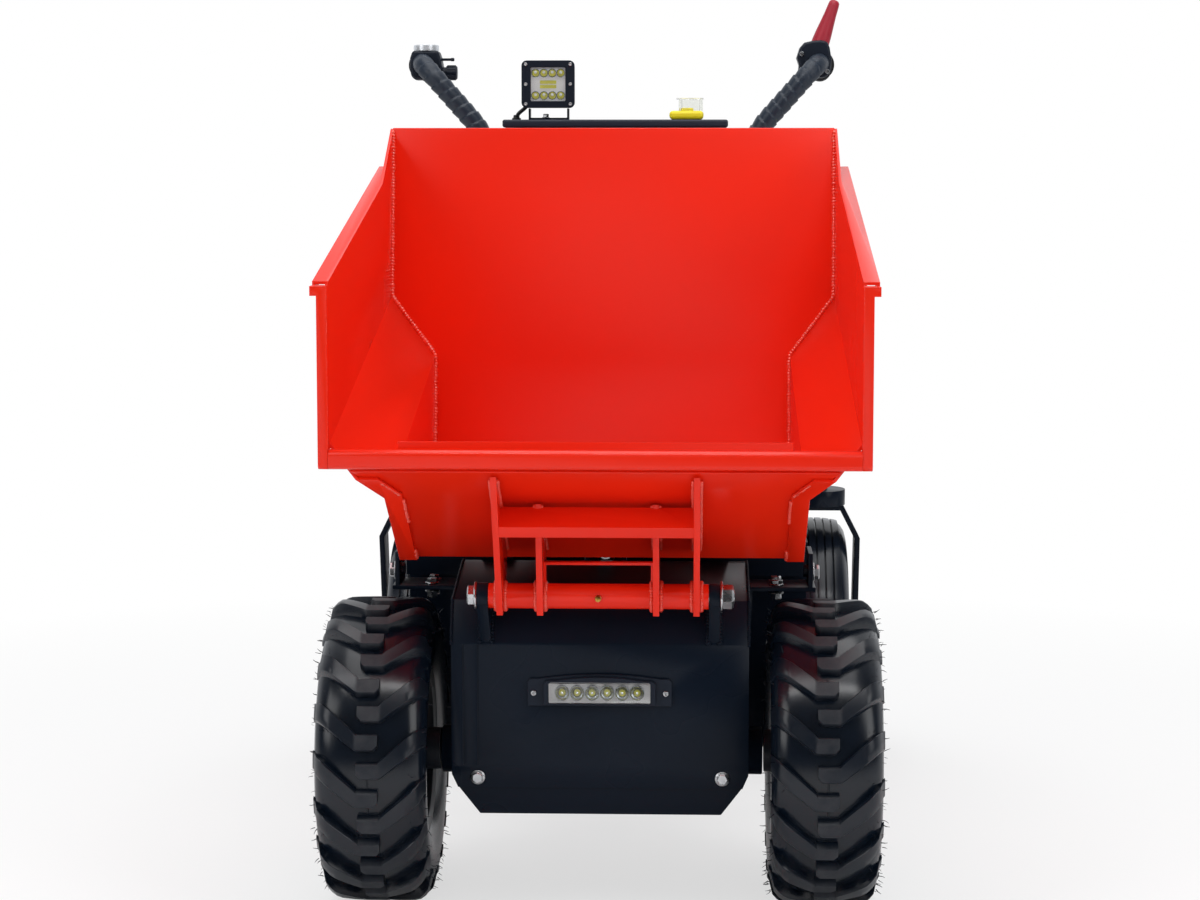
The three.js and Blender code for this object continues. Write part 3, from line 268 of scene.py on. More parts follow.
# %% [markdown]
# The floor is a large pale sheet, and the machine's shadow lies on it. For the camera alone it
# fades to plain white with distance, so no horizon shows and no light is added to the machine.

# %% Floor
floor = raw("floor", [(-9, -6, 0), (9, -6, 0), (9, 14, 0), (-9, 14, 0)], [], [(0, 1, 2, 3)])
floor_finish, sheet = new_material("pale_floor")
matt = add(sheet, "ShaderNodeBsdfDiffuse", {"Color": colour("#f4f4f4")})
glow = add(sheet, "ShaderNodeEmission", {"Color": WHITE, "Strength": 1.0})
spot = add(sheet, "ShaderNodeTexCoord")
away = add(sheet, "ShaderNodeVectorMath", {0: spot.outputs["Object"]}, operation="LENGTH")
fade = remap(sheet, away.outputs["Value"], 0.7, 2.2, 0.62, 1.0)
ray = add(sheet, "ShaderNodeLightPath")
share = maths(sheet, "MULTIPLY", fade, ray.outputs["Is Camera Ray"])
chosen = add(sheet, "ShaderNodeMixShader", {0: share, 1: matt, 2: glow})
add(sheet, "ShaderNodeOutputMaterial", {"Surface": chosen})
floor.data.materials.append(floor_finish)
print("floor", floor.dimensions[:2])

# %% [markdown]
# ## Finishes
# Most surfaces here are a coat over metal or a moulding: one base colour that drifts a little
# over a hand's width, a roughness that drifts with it, and a fine texture felt only in the
# highlight. `surface` lays those down with real sizes in millimetres, and each finish says
# what it is. Dust is a second thin colour that settles on faces which point up.

# %% A surface with drift, grain and dust


def noise(tree, place, scale, detail=2.0, roughness=0.5):
    return add(tree, "ShaderNodeTexNoise", {
        "Vector": place.outputs["Object"], "Scale": scale, "Detail": detail,
        "Roughness": roughness})


def blend(tree, factor, first, second):
    return add(tree, "ShaderNodeMix", {"Factor": factor, 6: first, 7: second},
               data_type="RGBA").outputs[2]


def skin_over(tree, bumps, strength, depth, inputs):
    """The end of every finish: its bumps, depth in mm, then the shader and the output."""
    bump = add(tree, "ShaderNodeBump", {
        "Height": bumps, "Strength": strength, "Distance": depth * MM})
    skin = add(tree, "ShaderNodeBsdfPrincipled", {"Normal": bump, **inputs})
    add(tree, "ShaderNodeOutputMaterial", {"Surface": skin})


def surface(name, base, drift, roughness, swing=0.06, patch=140, grain=1.0, depth=0.02,
            dust=0.0, metallic=0.0, shine=0.3):
    """patch and grain are sizes in mm; depth is how deep the grain is, in mm."""
    made, tree = new_material(name)
    place = add(tree, "ShaderNodeTexCoord")
    cloud = noise(tree, place, 1000 / patch, 2.0, 0.4)
    tint = blend(tree, cloud, colour(base), colour(drift))
    rough = remap(tree, cloud, 0.3, 0.7, roughness - swing, roughness + swing)
    if dust:
        up = add(tree, "ShaderNodeSeparateXYZ", {"Vector": place.outputs["Normal"]})
        specks = noise(tree, place, 1000 / 35, 8.0, 0.7)
        flat = remap(tree, up.outputs["Z"], 0.45, 1.0, 0.0, dust)
        amount = maths(tree, "MULTIPLY", flat, specks)
        tint = blend(tree, amount, tint, colour("#a59c8f"))
        rough = maths(tree, "ADD", rough, amount)
    skin_over(tree, noise(tree, place, 1000 / grain), 0.5, depth, {
        "Base Color": tint, "Roughness": rough, "Metallic": metallic,
        "Specular IOR Level": shine})
    return made


# Gloss powder coat on steel: smooth, with a soft orange peel about 3 mm across that only
# shows where a lamp is reflected.
gloss_red_coat = surface("gloss_red_powder_coat", "#ee290f", "#e6230c", 0.22,
                         0.03, 300, 3.0, 0.02)
# The same coat on the weld ripples: glossier, and painted paler as a highlight along the beads.
weld_coat_painted_highlight = surface("red_weld_coat_painted_highlight", "#f2523c", "#e83220", 0.14,
                        0.04, 6, 1.5, 0.05, shine=0.9)
# Satin powder coat on the black frame, a little blue, with a finer texture.
satin_black_coat = surface("satin_black_powder_coat", "#101926", "#0d1520",
                           0.3, 0.05, 120, 1.6, 0.04, dust=0.03, shine=0.12)
# Injection-moulded ABS of the controls and the lamp: matt, finely sparked.
moulded_black = surface("moulded_black_abs", "#171f2c", "#131a26", 0.42,
                        0.05, 60, 0.8, 0.05, dust=0.05, shine=0.2)
# The console lid's moulding is coarser and greyer.
lid_black = surface("sparked_black_lid", "#20283a", "#1b2332", 0.5, 0.05,
                    80, 0.9, 0.08, dust=0.08)
# Black steel rims, sprayed.
rim_black = surface("sprayed_rim_black", "#171d27", "#131820", 0.38, 0.06, 90,
                    1.5, 0.04, dust=0.1)
# Soft black grip rubber: very little shine.
grip_black = surface("grip_rubber", "#181a1e", "#141619", 0.72, 0.05, 50, 0.7,
                     0.06)
# Vinyl wrap on the bars: shinier than rubber, stretched smooth.
bar_vinyl = surface("vinyl_bar_wrap", "#27313f", "#1f2834", 0.4, 0.06, 40, 2.0,
                    0.05, shine=0.35)
# Crimson rubber sleeve on the lever.
crimson_rubber = surface("crimson_rubber_sleeve", "#ab2637", "#9c1f30", 0.42,
                         0.05, 40, 0.9, 0.04)
# Bright yellow nylon of the switch.
yellow_nylon = surface("yellow_nylon", "#f9e92e", "#f2df20", 0.36, 0.04,
                       40, 1.0, 0.03)
# Battery case: dark grey ABS.
case_grey = surface("grey_abs_case", "#383c43", "#31353b", 0.6, 0.05, 90,
                    1.2, 0.06, dust=0.12)
# Lead sheath: smooth PVC.
sheath_black = surface("pvc_sheath", "#14161a", "#101216", 0.35, 0.04, 30,
                       1.0, 0.01)
# Phosphor of the lamp dies, and the pale tray behind the cups.
phosphor = surface("lamp_phosphor", "#d2cc2a", "#bdb824", 0.35, 0.04, 20,
                   0.8, 0.01)
pale_reflector = surface("pale_reflector", "#e4e2e6", "#d6d4dc", 0.22, 0.05,
                         30, 1.0, 0.01)
print(len(bpy.data.materials), "finishes so far")

# %% [markdown]
# Metals reflect in their own colour, so only metallic and roughness matter. Zinc plate is
# drawn with faint cloudy crystals, and the lift's rod is polished chrome.

# %% Metals and clear plastic


def metal(name, base, drift, roughness, swing, patch, grain, depth, metallic=1.0):
    return surface(name, base, drift, roughness, swing, patch, grain, depth,
                   metallic=metallic, shine=0.5)


zinc_plate = metal("zinc_plate", "#c8cacc", "#aeb1b4", 0.3, 0.1, 12, 2.0, 0.02)
# Satin chrome under a thin haze, which takes part of the metal's mirror away.
satin_bezel = metal("satin_chrome_bezel", "#dfe2e6", "#cfd3d8", 0.34, 0.05,
                    40, 1.5, 0.01, metallic=0.55)
mirror_cup = metal("aluminised_cup", "#979ca3", "#868b93", 0.16, 0.04, 20,
                   1.0, 0.005)
bright_chrome = metal("bright_chrome", "#dfe1e4", "#d3d6da", 0.12, 0.04, 60,
                      3.0, 0.005)
yellow_brass = metal("brass_nipple", "#cda552", "#b98f3f", 0.28, 0.06, 8, 1.0, 0.01)
# Polycarbonate: clear, faintly warm, scratched enough to soften its highlight.
clear_cover, clear_tree = new_material("clear_polycarbonate")
waves = noise(clear_tree, add(clear_tree, "ShaderNodeTexCoord"), 90.0)
skin_over(clear_tree, waves, 0.2, 0.05, {
    "Base Color": colour("#f6f7f4"), "Roughness": 0.08, "IOR": 1.58,
    "Transmission Weight": 1.0})
print("metals and clear plastic ready")

# %% [markdown]
# Tyre rubber is blue-black and stays shiny between the lugs, where nothing rubs it. The tops
# of the lugs are scuffed dull and hold grey dust. The lug mesh carries a `worn` value, and
# this finish reads it.

# %% Tyre rubber


def tyre_rubber(name, base, drift, shine):
    made, tree = new_material(name)
    place = add(tree, "ShaderNodeTexCoord")
    worn = add(tree, "ShaderNodeAttribute", attribute_name="worn").outputs["Fac"]
    cloud = noise(tree, place, 1000 / 25, 8.0, 0.65)
    tint = blend(tree, cloud, colour(base), colour(drift))
    dusty = maths(tree, "MULTIPLY", worn, remap(tree, cloud, 0.35, 0.7, 0.0, 0.16))
    skin_over(tree, noise(tree, place, 700.0), 0.4, 0.06, {
        "Base Color": blend(tree, dusty, tint, colour("#6a6a6d")),
        "Roughness": remap(tree, worn, 0.0, 1.0, 0.22, 0.55), "Specular IOR Level": shine})
    return made


lugged_rubber = tyre_rubber("lugged_tyre_rubber", "#0c1521", "#09111b", 0.42)
ribbed_rubber = tyre_rubber("ribbed_tyre_rubber", "#161d28", "#121822", 0.3)
print("rubber ready")

# %% [markdown]
# ## Pieces
# Each new piece is given a finish, set to ride on one moving body, and may stand in for a
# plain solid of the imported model. One helper does all three, so nothing is left behind when
# the bucket tips.

# %% Fit a piece


def fit(obj, finish, body, *stands_for):
    obj.data.materials.clear()
    obj.data.materials.append(finish)
    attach(obj, body)
    if stands_for:
        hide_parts(*stands_for)
    return obj


# %% [markdown]
# Folded sheet has no knife edges: the outside of a bend and a dressed cut are both rounded by
# a millimetre or so. That thin round is what catches the light, so each sheet part is copied,
# its loose triangles are merged into whole faces, and a Bevel modifier rounds its edges.

# %% Rounded copies of sheet and forged parts


def rounded(node, finish, radius, segments=2, cutters=()):
    shell = bmesh.new()
    shell.from_mesh(frame["nodes"][node].data)
    bmesh.ops.remove_doubles(shell, verts=shell.verts, dist=2e-5)
    bmesh.ops.dissolve_limit(shell, angle_limit=math.radians(1.5), verts=shell.verts,
                             edges=shell.edges)
    bmesh.ops.recalc_face_normals(shell, faces=shell.faces)
    obj = from_shell(node + "_skin", shell)
    for cutter in cutters:
        groove = obj.modifiers.new("groove", "BOOLEAN")
        groove.operation = "DIFFERENCE"
        groove.solver = "EXACT"
        groove.object = cutter
    soften(obj, radius, segments, 32)
    return fit(obj, finish, body_of[node], node)


# The radius of each part's edges, in mm.
RED_SHEET = {"bucket_floor": 1.2, "bucket_side_left": 1.6, "bucket_side_right": 1.6,
             "bucket_lip": 1.8, "pivot_frame": 1.4, "lift_lug": 1.0}
BLACK_STEEL = {"skid_plate": 1.0, "main_frame": 1.5, "front_box": 1.5, "drive_axle": 1.5,
               "bucket_rest_left": 1.0, "bucket_rest_right": 1.0, "console_box": 2.5,
               "caster_fork_left": 1.5, "caster_fork_right": 1.5}
for finish, parts in ((gloss_red_coat, RED_SHEET), (satin_black_coat, BLACK_STEEL)):
    for node, radius in parts.items():
        print(node, len(rounded(node, finish, radius).data.polygons), "faces")

# %% [markdown]
# The fascia is one folded plate with two pressed grooves down its right edge. The grooves are
# real cuts: two thin bars are taken out of the copied plate by a Boolean modifier before its
# edges are rounded.

# %% Fascia with its pressed grooves


def bar(name, low, high):
    (x0, y0, z0), (x1, y1, z1) = low, high
    corners = [at(x, y, z) for z in (z0, z1) for y in (y0, y1) for x in (x0, x1)]
    return piece(name, corners, [(0, 2, 3, 1), (4, 5, 7, 6), (0, 1, 5, 4), (2, 6, 7, 3),
                                 (0, 4, 6, 2), (1, 3, 7, 5)], smooth=False)


GROOVES = [bar(f"groove_{i}", (x - 1.1, -110, 203), (x + 1.1, -98.0, 362))
           for i, x in enumerate((-178, -159))]
fascia = rounded("front_fascia", satin_black_coat, 0.8, cutters=GROOVES)
for groove in GROOVES:
    bpy.data.objects.remove(groove)
print("fascia", len(fascia.data.polygons), "faces")

# %% [markdown]
# Wheels, rods and caps are turned shapes: a profile of (radius, along) pairs in millimetres
# swept about an axis. Ninety-six steps keep a tyre's outline round close up.

# %% Turned pieces


def turned(name, profile, centre=ORIGIN, axis=UP, steps=48):
    """Closed profiles meet themselves; open ones are closed where the radius is 0."""
    along = Vector(axis).normalized()
    side = along.orthogonal().normalized()
    other = along.cross(side).normalized()
    verts, faces = [], []
    n = len(profile)
    for i in range(steps):
        angle = 2 * math.pi * i / steps
        spoke = side * math.cos(angle) + other * math.sin(angle)
        verts += [centre + spoke * (r * MM) + along * (h * MM) for r, h in profile]
        for j in range(n - 1):
            a, b = i * n + j, ((i + 1) % steps) * n + j
            faces.append((a, b, b + 1, a + 1))
    return piece(name, verts, faces)


def lathe(name, profile, centre, axis, steps, finish, body, *stands_for, sharp=35):
    """Turns a piece, keeps its edges sharp past an angle in degrees, and fits it."""
    return fit(crease(turned(name, profile, centre, axis, steps), sharp), finish, body,
               *stands_for)


def mirrored_profile(half, middle=()):
    """Half a profile, what lies in the middle, and the same half again the other way."""
    return [*half, *middle, *[(r, -x) for r, x in reversed(half)], half[0]]


# %% [markdown]
# ### Geometry Nodes: copies on points
# Bolts, lamp cups and the moulding hairs of a tyre are one small shape put down many times.
# The points are a little mesh whose vertices carry a `facing` direction. The tree puts a copy
# on each, turns it to face that way with a seeded random twist, makes the copies real, and
# sets the finish.

# %% Tree: copies on points


def start_tree(name, **fields):
    """A new tree, and the values it is given: what each is called and its kind of socket."""
    tree = bpy.data.node_groups.new(name, "GeometryNodeTree")
    for way in ("INPUT", "OUTPUT"):
        tree.interface.new_socket("Geometry", in_out=way, socket_type="NodeSocketGeometry")
    for label, kind in fields.items():
        tree.interface.new_socket(label, in_out="INPUT", socket_type="NodeSocket" + kind)
    return tree, tree.nodes.new("NodeGroupInput").outputs


def finish_tree(tree, geometry, finish):
    real = add(tree, "GeometryNodeRealizeInstances", {"Geometry": geometry})
    coloured = add(tree, "GeometryNodeSetMaterial", {"Geometry": real, "Material": finish})
    add(tree, "NodeGroupOutput", {"Geometry": coloured})
    print(tree.name, "has", len(tree.nodes), "nodes")


def grow(obj, tree, **values):
    """Sets each named input by its identifier, then keeps the result as plain mesh."""
    maker = obj.modifiers.new(tree.name, "NODES")
    maker.node_group = tree
    for item in tree.interface.items_tree:
        if item.in_out == "INPUT" and item.name in values:
            maker[item.identifier] = values[item.name]
    return settle(obj)


copies, given = start_tree("copies_on_points", Shape="Object", Twist="Float", Lean="Float",
                           Vary="Float", Seed="Int", Finish="Material")
shape = add(copies, "GeometryNodeObjectInfo", {"Object": given["Shape"]})
facing = add(copies, "GeometryNodeInputNamedAttribute", {"Name": "facing"},
             data_type="FLOAT_VECTOR")
aim = add(copies, "FunctionNodeAlignRotationToVector", {"Vector": facing}, axis="Z")
twist_low = maths(copies, "MULTIPLY", given["Twist"], -1.0)
lean_low = maths(copies, "MULTIPLY", given["Lean"], -1.0)
low = add(copies, "ShaderNodeCombineXYZ", {"X": lean_low, "Y": lean_low, "Z": twist_low})
high = add(copies, "ShaderNodeCombineXYZ", {
    "X": given["Lean"], "Y": given["Lean"], "Z": given["Twist"]})
turn = add(copies, "FunctionNodeRandomValue", {
    "Min": low, "Max": high, "Seed": given["Seed"]}, data_type="FLOAT_VECTOR")
own = add(copies, "FunctionNodeEulerToRotation", {"Euler": turn})
both = add(copies, "FunctionNodeRotateRotation", {"Rotation": aim, "Rotate By": own},
           rotation_space="LOCAL")
size_low = maths(copies, "SUBTRACT", 1.0, given["Vary"])
size = add(copies, "FunctionNodeRandomValue", {
    2: size_low, 3: 1.0, "Seed": given["Seed"]}, data_type="FLOAT")
put = add(copies, "GeometryNodeInstanceOnPoints", {
    "Points": given["Geometry"], "Instance": shape.outputs["Geometry"],
    "Rotation": both, "Scale": size.outputs[1]})
finish_tree(copies, put, given["Finish"])

# %% Put copies down


def scatter(name, shape, spots, finish, body, twist=0.0, lean=0.0, vary=0.0, seed=1):
    """spots are (place, facing) pairs; the shape points along +Z from the origin."""
    obj = raw(name, [place for place, _ in spots])
    mark = obj.data.attributes.new("facing", "FLOAT_VECTOR", "POINT")
    for item, (_, way) in zip(mark.data, spots):
        item.vector = Vector(way).normalized()
    grow(obj, copies, Shape=shape, Twist=twist, Lean=lean, Vary=vary, Seed=seed, Finish=finish)
    bpy.data.objects.remove(shape)
    return fit(obj, finish, body)


def dot_row(name, profile, steps, places, finish, way=FRONT):
    """One small turned shape of the chassis at each place, all facing one way."""
    shape = turned("small_shape", profile, steps=steps)
    return scatter(name, shape, [(place, way) for place in places], finish, "chassis")


def hex_bolt(across, head, washer=0.0):
    """A hexagon head, chamfered on top, on an optional flange; across is the flats in mm."""
    r, top = across / 2 / math.cos(math.pi / 6), washer + head
    bolt = turned("bolt", [(0, washer), (r, washer), (r, washer + head * 0.82),
                           (r * 0.86, top), (0, top)], steps=6)
    for face in bolt.data.polygons:
        face.use_smooth = False
    if washer:
        join([bolt, turned("bolt_washer", [(0, 0), (r * 1.25, 0), (r * 1.32, washer * 0.5),
                                           (r * 1.25, washer), (0, washer)], steps=20)])
    return bolt


def bolts(name, size, spots, body="chassis", twist=0.5, seed=1):
    return scatter(name, hex_bolt(*size), spots, zinc_plate, body, twist=twist, seed=seed)


REST_BOLTS = [(side * 233.5, y) for side in BOTH_SIDES for y in (63, 95)]
bolts("fascia_bolts", (13, 5.5, 2), [(at(x, -95.5, 186), FRONT) for x in (-160, 160)], seed=3)
bolts("side_plate_bolts", (17, 7, 2.5),
      [(at(side * 282, 63, 435), (side, 0, 0)) for side in BOTH_SIDES], seed=8)
bolts("rest_bolt_heads", (13, 5.5, 2), [(at(x, y, 416.8), UP) for x, y in REST_BOLTS], seed=10)
bolts("rest_bolts", (13, 9, 2), [(at(x, y, 408), DOWN) for x, y in REST_BOLTS], seed=9)
print("bolts placed")

# %% [markdown]
# ### Welds
# Every joint of the bucket is a run of weld that shows as small overlapping ripples under the
# paint. The tree samples a path every few millimetres and lays a flattened bead on each
# sample, each a little larger or smaller than the last.

# %% Tree: weld beads along a path
weld_tree, given = start_tree("weld_beads", Pitch="Float", Radius="Float", Seed="Int",
                              Finish="Material")
line = add(weld_tree, "GeometryNodeMeshToCurve", {"Mesh": given["Geometry"]})
even = add(weld_tree, "GeometryNodeResampleCurve", {"Curve": line, "Length": given["Pitch"]},
           mode="LENGTH")
bead = add(weld_tree, "GeometryNodeMeshUVSphere", {
    "Segments": 8, "Rings": 5, "Radius": given["Radius"]})
tangent = add(weld_tree, "GeometryNodeInputTangent")
aim = add(weld_tree, "FunctionNodeAlignRotationToVector", {"Vector": tangent}, axis="Z")
grown = add(weld_tree, "FunctionNodeRandomValue", {
    "Min": (0.75, 0.75, 0.7), "Max": (1.15, 1.15, 0.95), "Seed": given["Seed"]},
    data_type="FLOAT_VECTOR")
laid = add(weld_tree, "GeometryNodeInstanceOnPoints", {
    "Points": even, "Instance": bead, "Rotation": aim, "Scale": grown})
smooth = add(weld_tree, "GeometryNodeSetShadeSmooth", {"Geometry": laid})
finish_tree(weld_tree, smooth, given["Finish"])


# By default the beads take the red weld coat, painted paler as a highlight.
def weld(name, runs, radius, pitch, seed, finish=weld_coat_painted_highlight, body="bucket"):
    """Beads along each run of places; the radius and the pitch are in mm."""
    verts, edges = [], []
    for run in runs:
        edges += [(len(verts) + i, len(verts) + i + 1) for i in range(len(run) - 1)]
        verts += run
    obj = raw(name, verts, edges)
    grow(obj, weld_tree, Pitch=pitch * MM, Radius=radius * MM, Seed=seed, Finish=finish)
    return fit(obj, finish, body)


# %% [markdown]
# The bucket's inner corners follow three folds. These few lines give the inside half-width at
# any place, so each weld run can be written as the places it passes through.

# %% Bucket corners
UPPER_HALF, LOWER_HALF = 327, 262
TOE, HEEL, REAR_TOP, NOSE = (-45, 465), (405, 548), (470, 1034), (-287, 613)
HIGH_FOLD, LOW_FOLD, FOLD_SLOPE = 698, 614, 0.205
INSIDE = 9.2                     # from the folds' outer line to the sheet's inner face
SEAT = 1.0                       # how far a weld stands in from the corner


def half_width(y, z):
    high, low = HIGH_FOLD + FOLD_SLOPE * y, LOW_FOLD + FOLD_SLOPE * y
    share = min(max((z - low) / (high - low), 0), 1)
    return LOWER_HALF + (UPPER_HALF - LOWER_HALF) * share


def rear_y(z):
    return HEEL[0] + (z - HEEL[1]) * (REAR_TOP[0] - HEEL[0]) / (REAR_TOP[1] - HEEL[1])


def front_z(y):
    return TOE[1] + (y - TOE[0]) * (NOSE[1] - TOE[1]) / (NOSE[0] - TOE[0])


def rear_run(side, low, high, steps):
    zs = [low + (high - low) * i / steps for i in range(steps + 1)]
    return [at(side * (half_width(rear_y(z), z) - SEAT), rear_y(z) - INSIDE, z) for z in zs]


def floor_run(side, start=-255, steps=24):
    run = []
    for i in range(steps + 1):
        y = start + (TOE[0] - start) * i / steps
        z = front_z(y)
        run.append(at(side * (half_width(y, z) - SEAT), y, z + INSIDE + 1.5))
    return run + [at(side * (LOWER_HALF - SEAT), HEEL[0] - INSIDE, HEEL[1] + INSIDE)]


weld("rear_corner_welds", [rear_run(side, 556, 1028, 80) for side in BOTH_SIDES], 3.8, 4.4, 11)
weld("floor_edge_welds", [floor_run(side) for side in BOTH_SIDES], 3.4, 5, 12)
print("half width at the rear fold", round(half_width(430, 740), 1))

# %% [markdown]
# ## Front tyres
# An agricultural tread: seventeen long lugs a side, each running down from the shoulder to
# the middle and ending in a short level stub that crosses the centre line. The left and right
# rows are half a pitch apart. The carcass is turned; one lug is modelled as a patch bent over
# the crown, and a Geometry Nodes tree repeats it round the wheel.

# %% Carcass
TYRE_RADIUS = 203
CARCASS = mirrored_profile([
    (104, -52.7), (106, -58), (113, -61.5), (120, -65), (135, -70.3), (150, -72.3),
    (163, -71.6), (174, -68.1), (182, -60.6), (187, -48.3), (189.5, -30.7), (190.6, -10.5),
    (190.8, -1.2), (191.6, -0.6)])
CROWN = sorted((x, r) for r, x in CARCASS if r > 149)


def carcass_radius(u):
    for (x0, r0), (x1, r1) in zip(CROWN, CROWN[1:]):
        if x0 <= u <= x1:
            return r0 + (r1 - r0) * (u - x0) / (x1 - x0)
    return CROWN[0][1]


print("carcass radius in the middle", carcass_radius(5))

# %% One lug
LUG_COUNT = 17
LUG_SLOPE = math.tan(math.radians(40))
LUG_ROOT, LUG_CORNER = 2.6, 0.6  # how far its foot and its top corners step out, in mm
LEVEL_HALF = 46                  # the tread is level this far from the middle
ELBOW, STUB_HALF = 14, 9.5       # where a lug turns level, and half that level stub's width


def lug_top(u):
    """Radius of a lug's top: level across the tread, rounded down over the shoulder."""
    edge = abs(u)
    if edge < LEVEL_HALF:
        return TYRE_RADIUS - 0.6 * (edge / LEVEL_HALF) ** 2
    return TYRE_RADIUS - 0.6 - 23 * ((edge - LEVEL_HALF) / 27) ** 2.2


def lug_edges(u):
    """Lower and upper edge of the lug at u, as lengths along the tread in mm."""
    if u < -ELBOW:
        middle = -(u + ELBOW) * LUG_SLOPE
        half = 11.0 + 1.5 * min(1, (-ELBOW - u) / 30)
        return middle - half, middle + half
    low = -STUB_HALF if u < 8 else -STUB_HALF + (u - 8) * 1.1
    return low, STUB_HALF


def sleeve_faces(rows, width):
    """The faces of a sleeve of rings, each ring `width` points round, and of its ends."""
    faces = [(i * width + j, i * width + (j + 1) % width,
              (i + 1) * width + (j + 1) % width, (i + 1) * width + j)
             for i in range(rows - 1) for j in range(width)]
    last = (rows - 1) * width
    return faces + [tuple(range(width)), tuple(reversed(range(last, last + width)))]


def lug(name, side):
    """side -1 runs from the left shoulder, +1 from the right; up the wheel is +angle."""
    us = [-73, -70.5, -66, -60.5, -54, -47, -39, -31, -24, -18, -14, -8, 0, 8, 13.5]
    verts, worn = [], []
    for u in us:
        low, high = lug_edges(u)
        top, base = lug_top(u), carcass_radius(max(u, -71)) - 1.5
        if u < -67:
            top = base + 1.5 + 5.5 * (u + 73) / 6 + 3.5
        row = [(low - LUG_ROOT, base, 0), (low - LUG_CORNER, top - 1.2, 1),
               (low + LUG_CORNER, top, 1), ((low + high) / 2, top + 0.15, 1),
               (high - LUG_CORNER, top, 1), (high + LUG_CORNER, top - 1.2, 1),
               (high + LUG_ROOT, base, 0)]
        for s, radius, wear in row:
            angle = s / TYRE_RADIUS
            verts.append((-side * u * MM, -math.cos(angle) * radius * MM,
                          math.sin(angle) * radius * MM))
            worn.append(wear if u > -15 else wear * 0.25)
    obj = piece(name, verts, sleeve_faces(len(us), len(row)))
    mark = obj.data.attributes.new("worn", "FLOAT", "POINT")
    for item, value in zip(mark.data, worn):
        item.value = value
    return crease(obj, 38)


print("lug edges at the shoulder", [round(v, 1) for v in lug_edges(-73)])

# %% Tree: copies in a ring
ring_tree, given = start_tree("copies_in_a_ring", Shape="Object", Count="Int", Start="Float",
                              Centre="Vector", Axis="Vector", Finish="Material")
shape = add(ring_tree, "GeometryNodeObjectInfo", {"Object": given["Shape"]})
spots = add(ring_tree, "GeometryNodePoints", {
    "Count": given["Count"], "Position": given["Centre"]})
number = add(ring_tree, "GeometryNodeInputIndex")
step = maths(ring_tree, "DIVIDE", 2 * math.pi, given["Count"])
angle = maths(ring_tree, "MULTIPLY_ADD", number, step, given["Start"])
turn = add(ring_tree, "FunctionNodeAxisAngleToRotation", {"Axis": given["Axis"], "Angle": angle})
put = add(ring_tree, "GeometryNodeInstanceOnPoints", {
    "Points": spots, "Instance": shape.outputs["Geometry"], "Rotation": turn})
finish_tree(ring_tree, put, given["Finish"])


def ring(name, shape, count, start, centre, finish, body):
    """Copies of a shape round an axle that lies across the machine."""
    obj = raw(name)
    grow(obj, ring_tree, Shape=shape, Count=count, Start=start, Centre=tuple(centre),
         Axis=ACROSS, Finish=finish)
    bpy.data.objects.remove(shape)
    return fit(obj, finish, body)


# %% Both front tyres
FRONT_WHEEL_X = 294
LEFT_ROW, RIGHT_ROW = math.radians(-7.0), math.radians(3.6)
FRONT_WHEELS = [(label, side, at(side * FRONT_WHEEL_X, 0, TYRE_RADIUS), f"front_wheel_{label}")
                for label, side in SIDES.items()]
for label, side, centre, body in FRONT_WHEELS:
    lathe(f"tyre_carcass_{label}", CARCASS, centre, ACROSS, 96, lugged_rubber, body,
          f"front_tyre_{label}", sharp=50)
    for row, start, hand in (("left", LEFT_ROW, 1), ("right", RIGHT_ROW, -1)):
        lugs = ring(f"tyre_{label}_lugs_{row}", lug("lug", -hand), LUG_COUNT, -start, centre,
                    lugged_rubber, body)
    print(body, len(lugs.data.polygons), "faces in a row of lugs")

# %% [markdown]
# New tyres keep the thin rubber hairs left by the mould's vents. They stand out of the
# shoulders and lug ends, a few millimetres long, each bent its own way.

# %% Mould hairs
# Where the hairs stand: along the axle, radius, and how far they point outwards.
HAIR_ROWS = ((71.5, 176, 0.9), (72, 160, 1.0), (68.5, 186, 0.75), (56, 189, 0.5))


def hair(length, bend=0.3):
    obj = turned("hair", [(0.75, 0), (0.6, length * 0.5), (0.3, length)], steps=4)
    for point in obj.data.vertices:
        point.co.x += (point.co.z / (length * MM)) ** 2 * length * MM * bend
    return obj


random.seed(7)
for label, side, centre, body in FRONT_WHEELS:
    spots = []
    for i in range(LUG_COUNT * 2):
        for edge in BOTH_SIDES:
            for u, r, out in HAIR_ROWS:
                angle = math.radians(360 / LUG_COUNT / 2 * (i + random.uniform(-0.3, 0.3)))
                radial = Vector((0, -math.cos(angle), math.sin(angle)))
                place = centre + Vector((edge * u * MM, 0, 0)) + radial * (r * MM)
                spots.append((place, Vector((edge * out, 0, 0)) + radial * (1 - out * 0.6)))
    scatter(f"tyre_hairs_{label}", hair(9), spots, lugged_rubber, body, twist=3.1, lean=0.5,
            vary=0.6, seed=20 + side)
print("hairs on each front tyre", len(spots))

# %% [markdown]
# ## Rims
# Pressed steel rims: a drop-centre barrel, a dished disc with a rolled bead, five wheel nuts
# and a hub with its cap. The inboard side is plainer. Each is turned in one profile.

# %% Front rims
RIM = [(0, 43.6), (16, 43.6), (18, 41.8), (18, 34.9), (26, 33.1), (40, 29.6), (58, 28.8),
       (72, 32.2), (82, 38.3), (92, 40.1), (97, 43.6), (98, 54.9), (104, 57.5), (109, 57.5),
       (112, 59.7), (112, 61), (108, 61), (104, 60.1), (101, 57.5), (100, 50.5), (98, 39.2),
       (96, 26.1), (90, 10.5), (88, 0), (90, -10.5), (96, -26.1), (98, -50.5), (103, -57.5),
       (109, -58.4), (112, -59.7), (112, -61), (107, -61), (99, -57.5), (95, -50.5),
       (92, -26.1), (86, -8.7), (86, 0), (89, 19.2), (86, 27.9), (70, 26.1), (40, 23.5),
       (34, 17.4), (34, -52.3), (28, -57.5), (28, -78), (0, -78)]
NUT_COUNT, NUT_RING, NUT_SEAT = 5, 50, 28.6
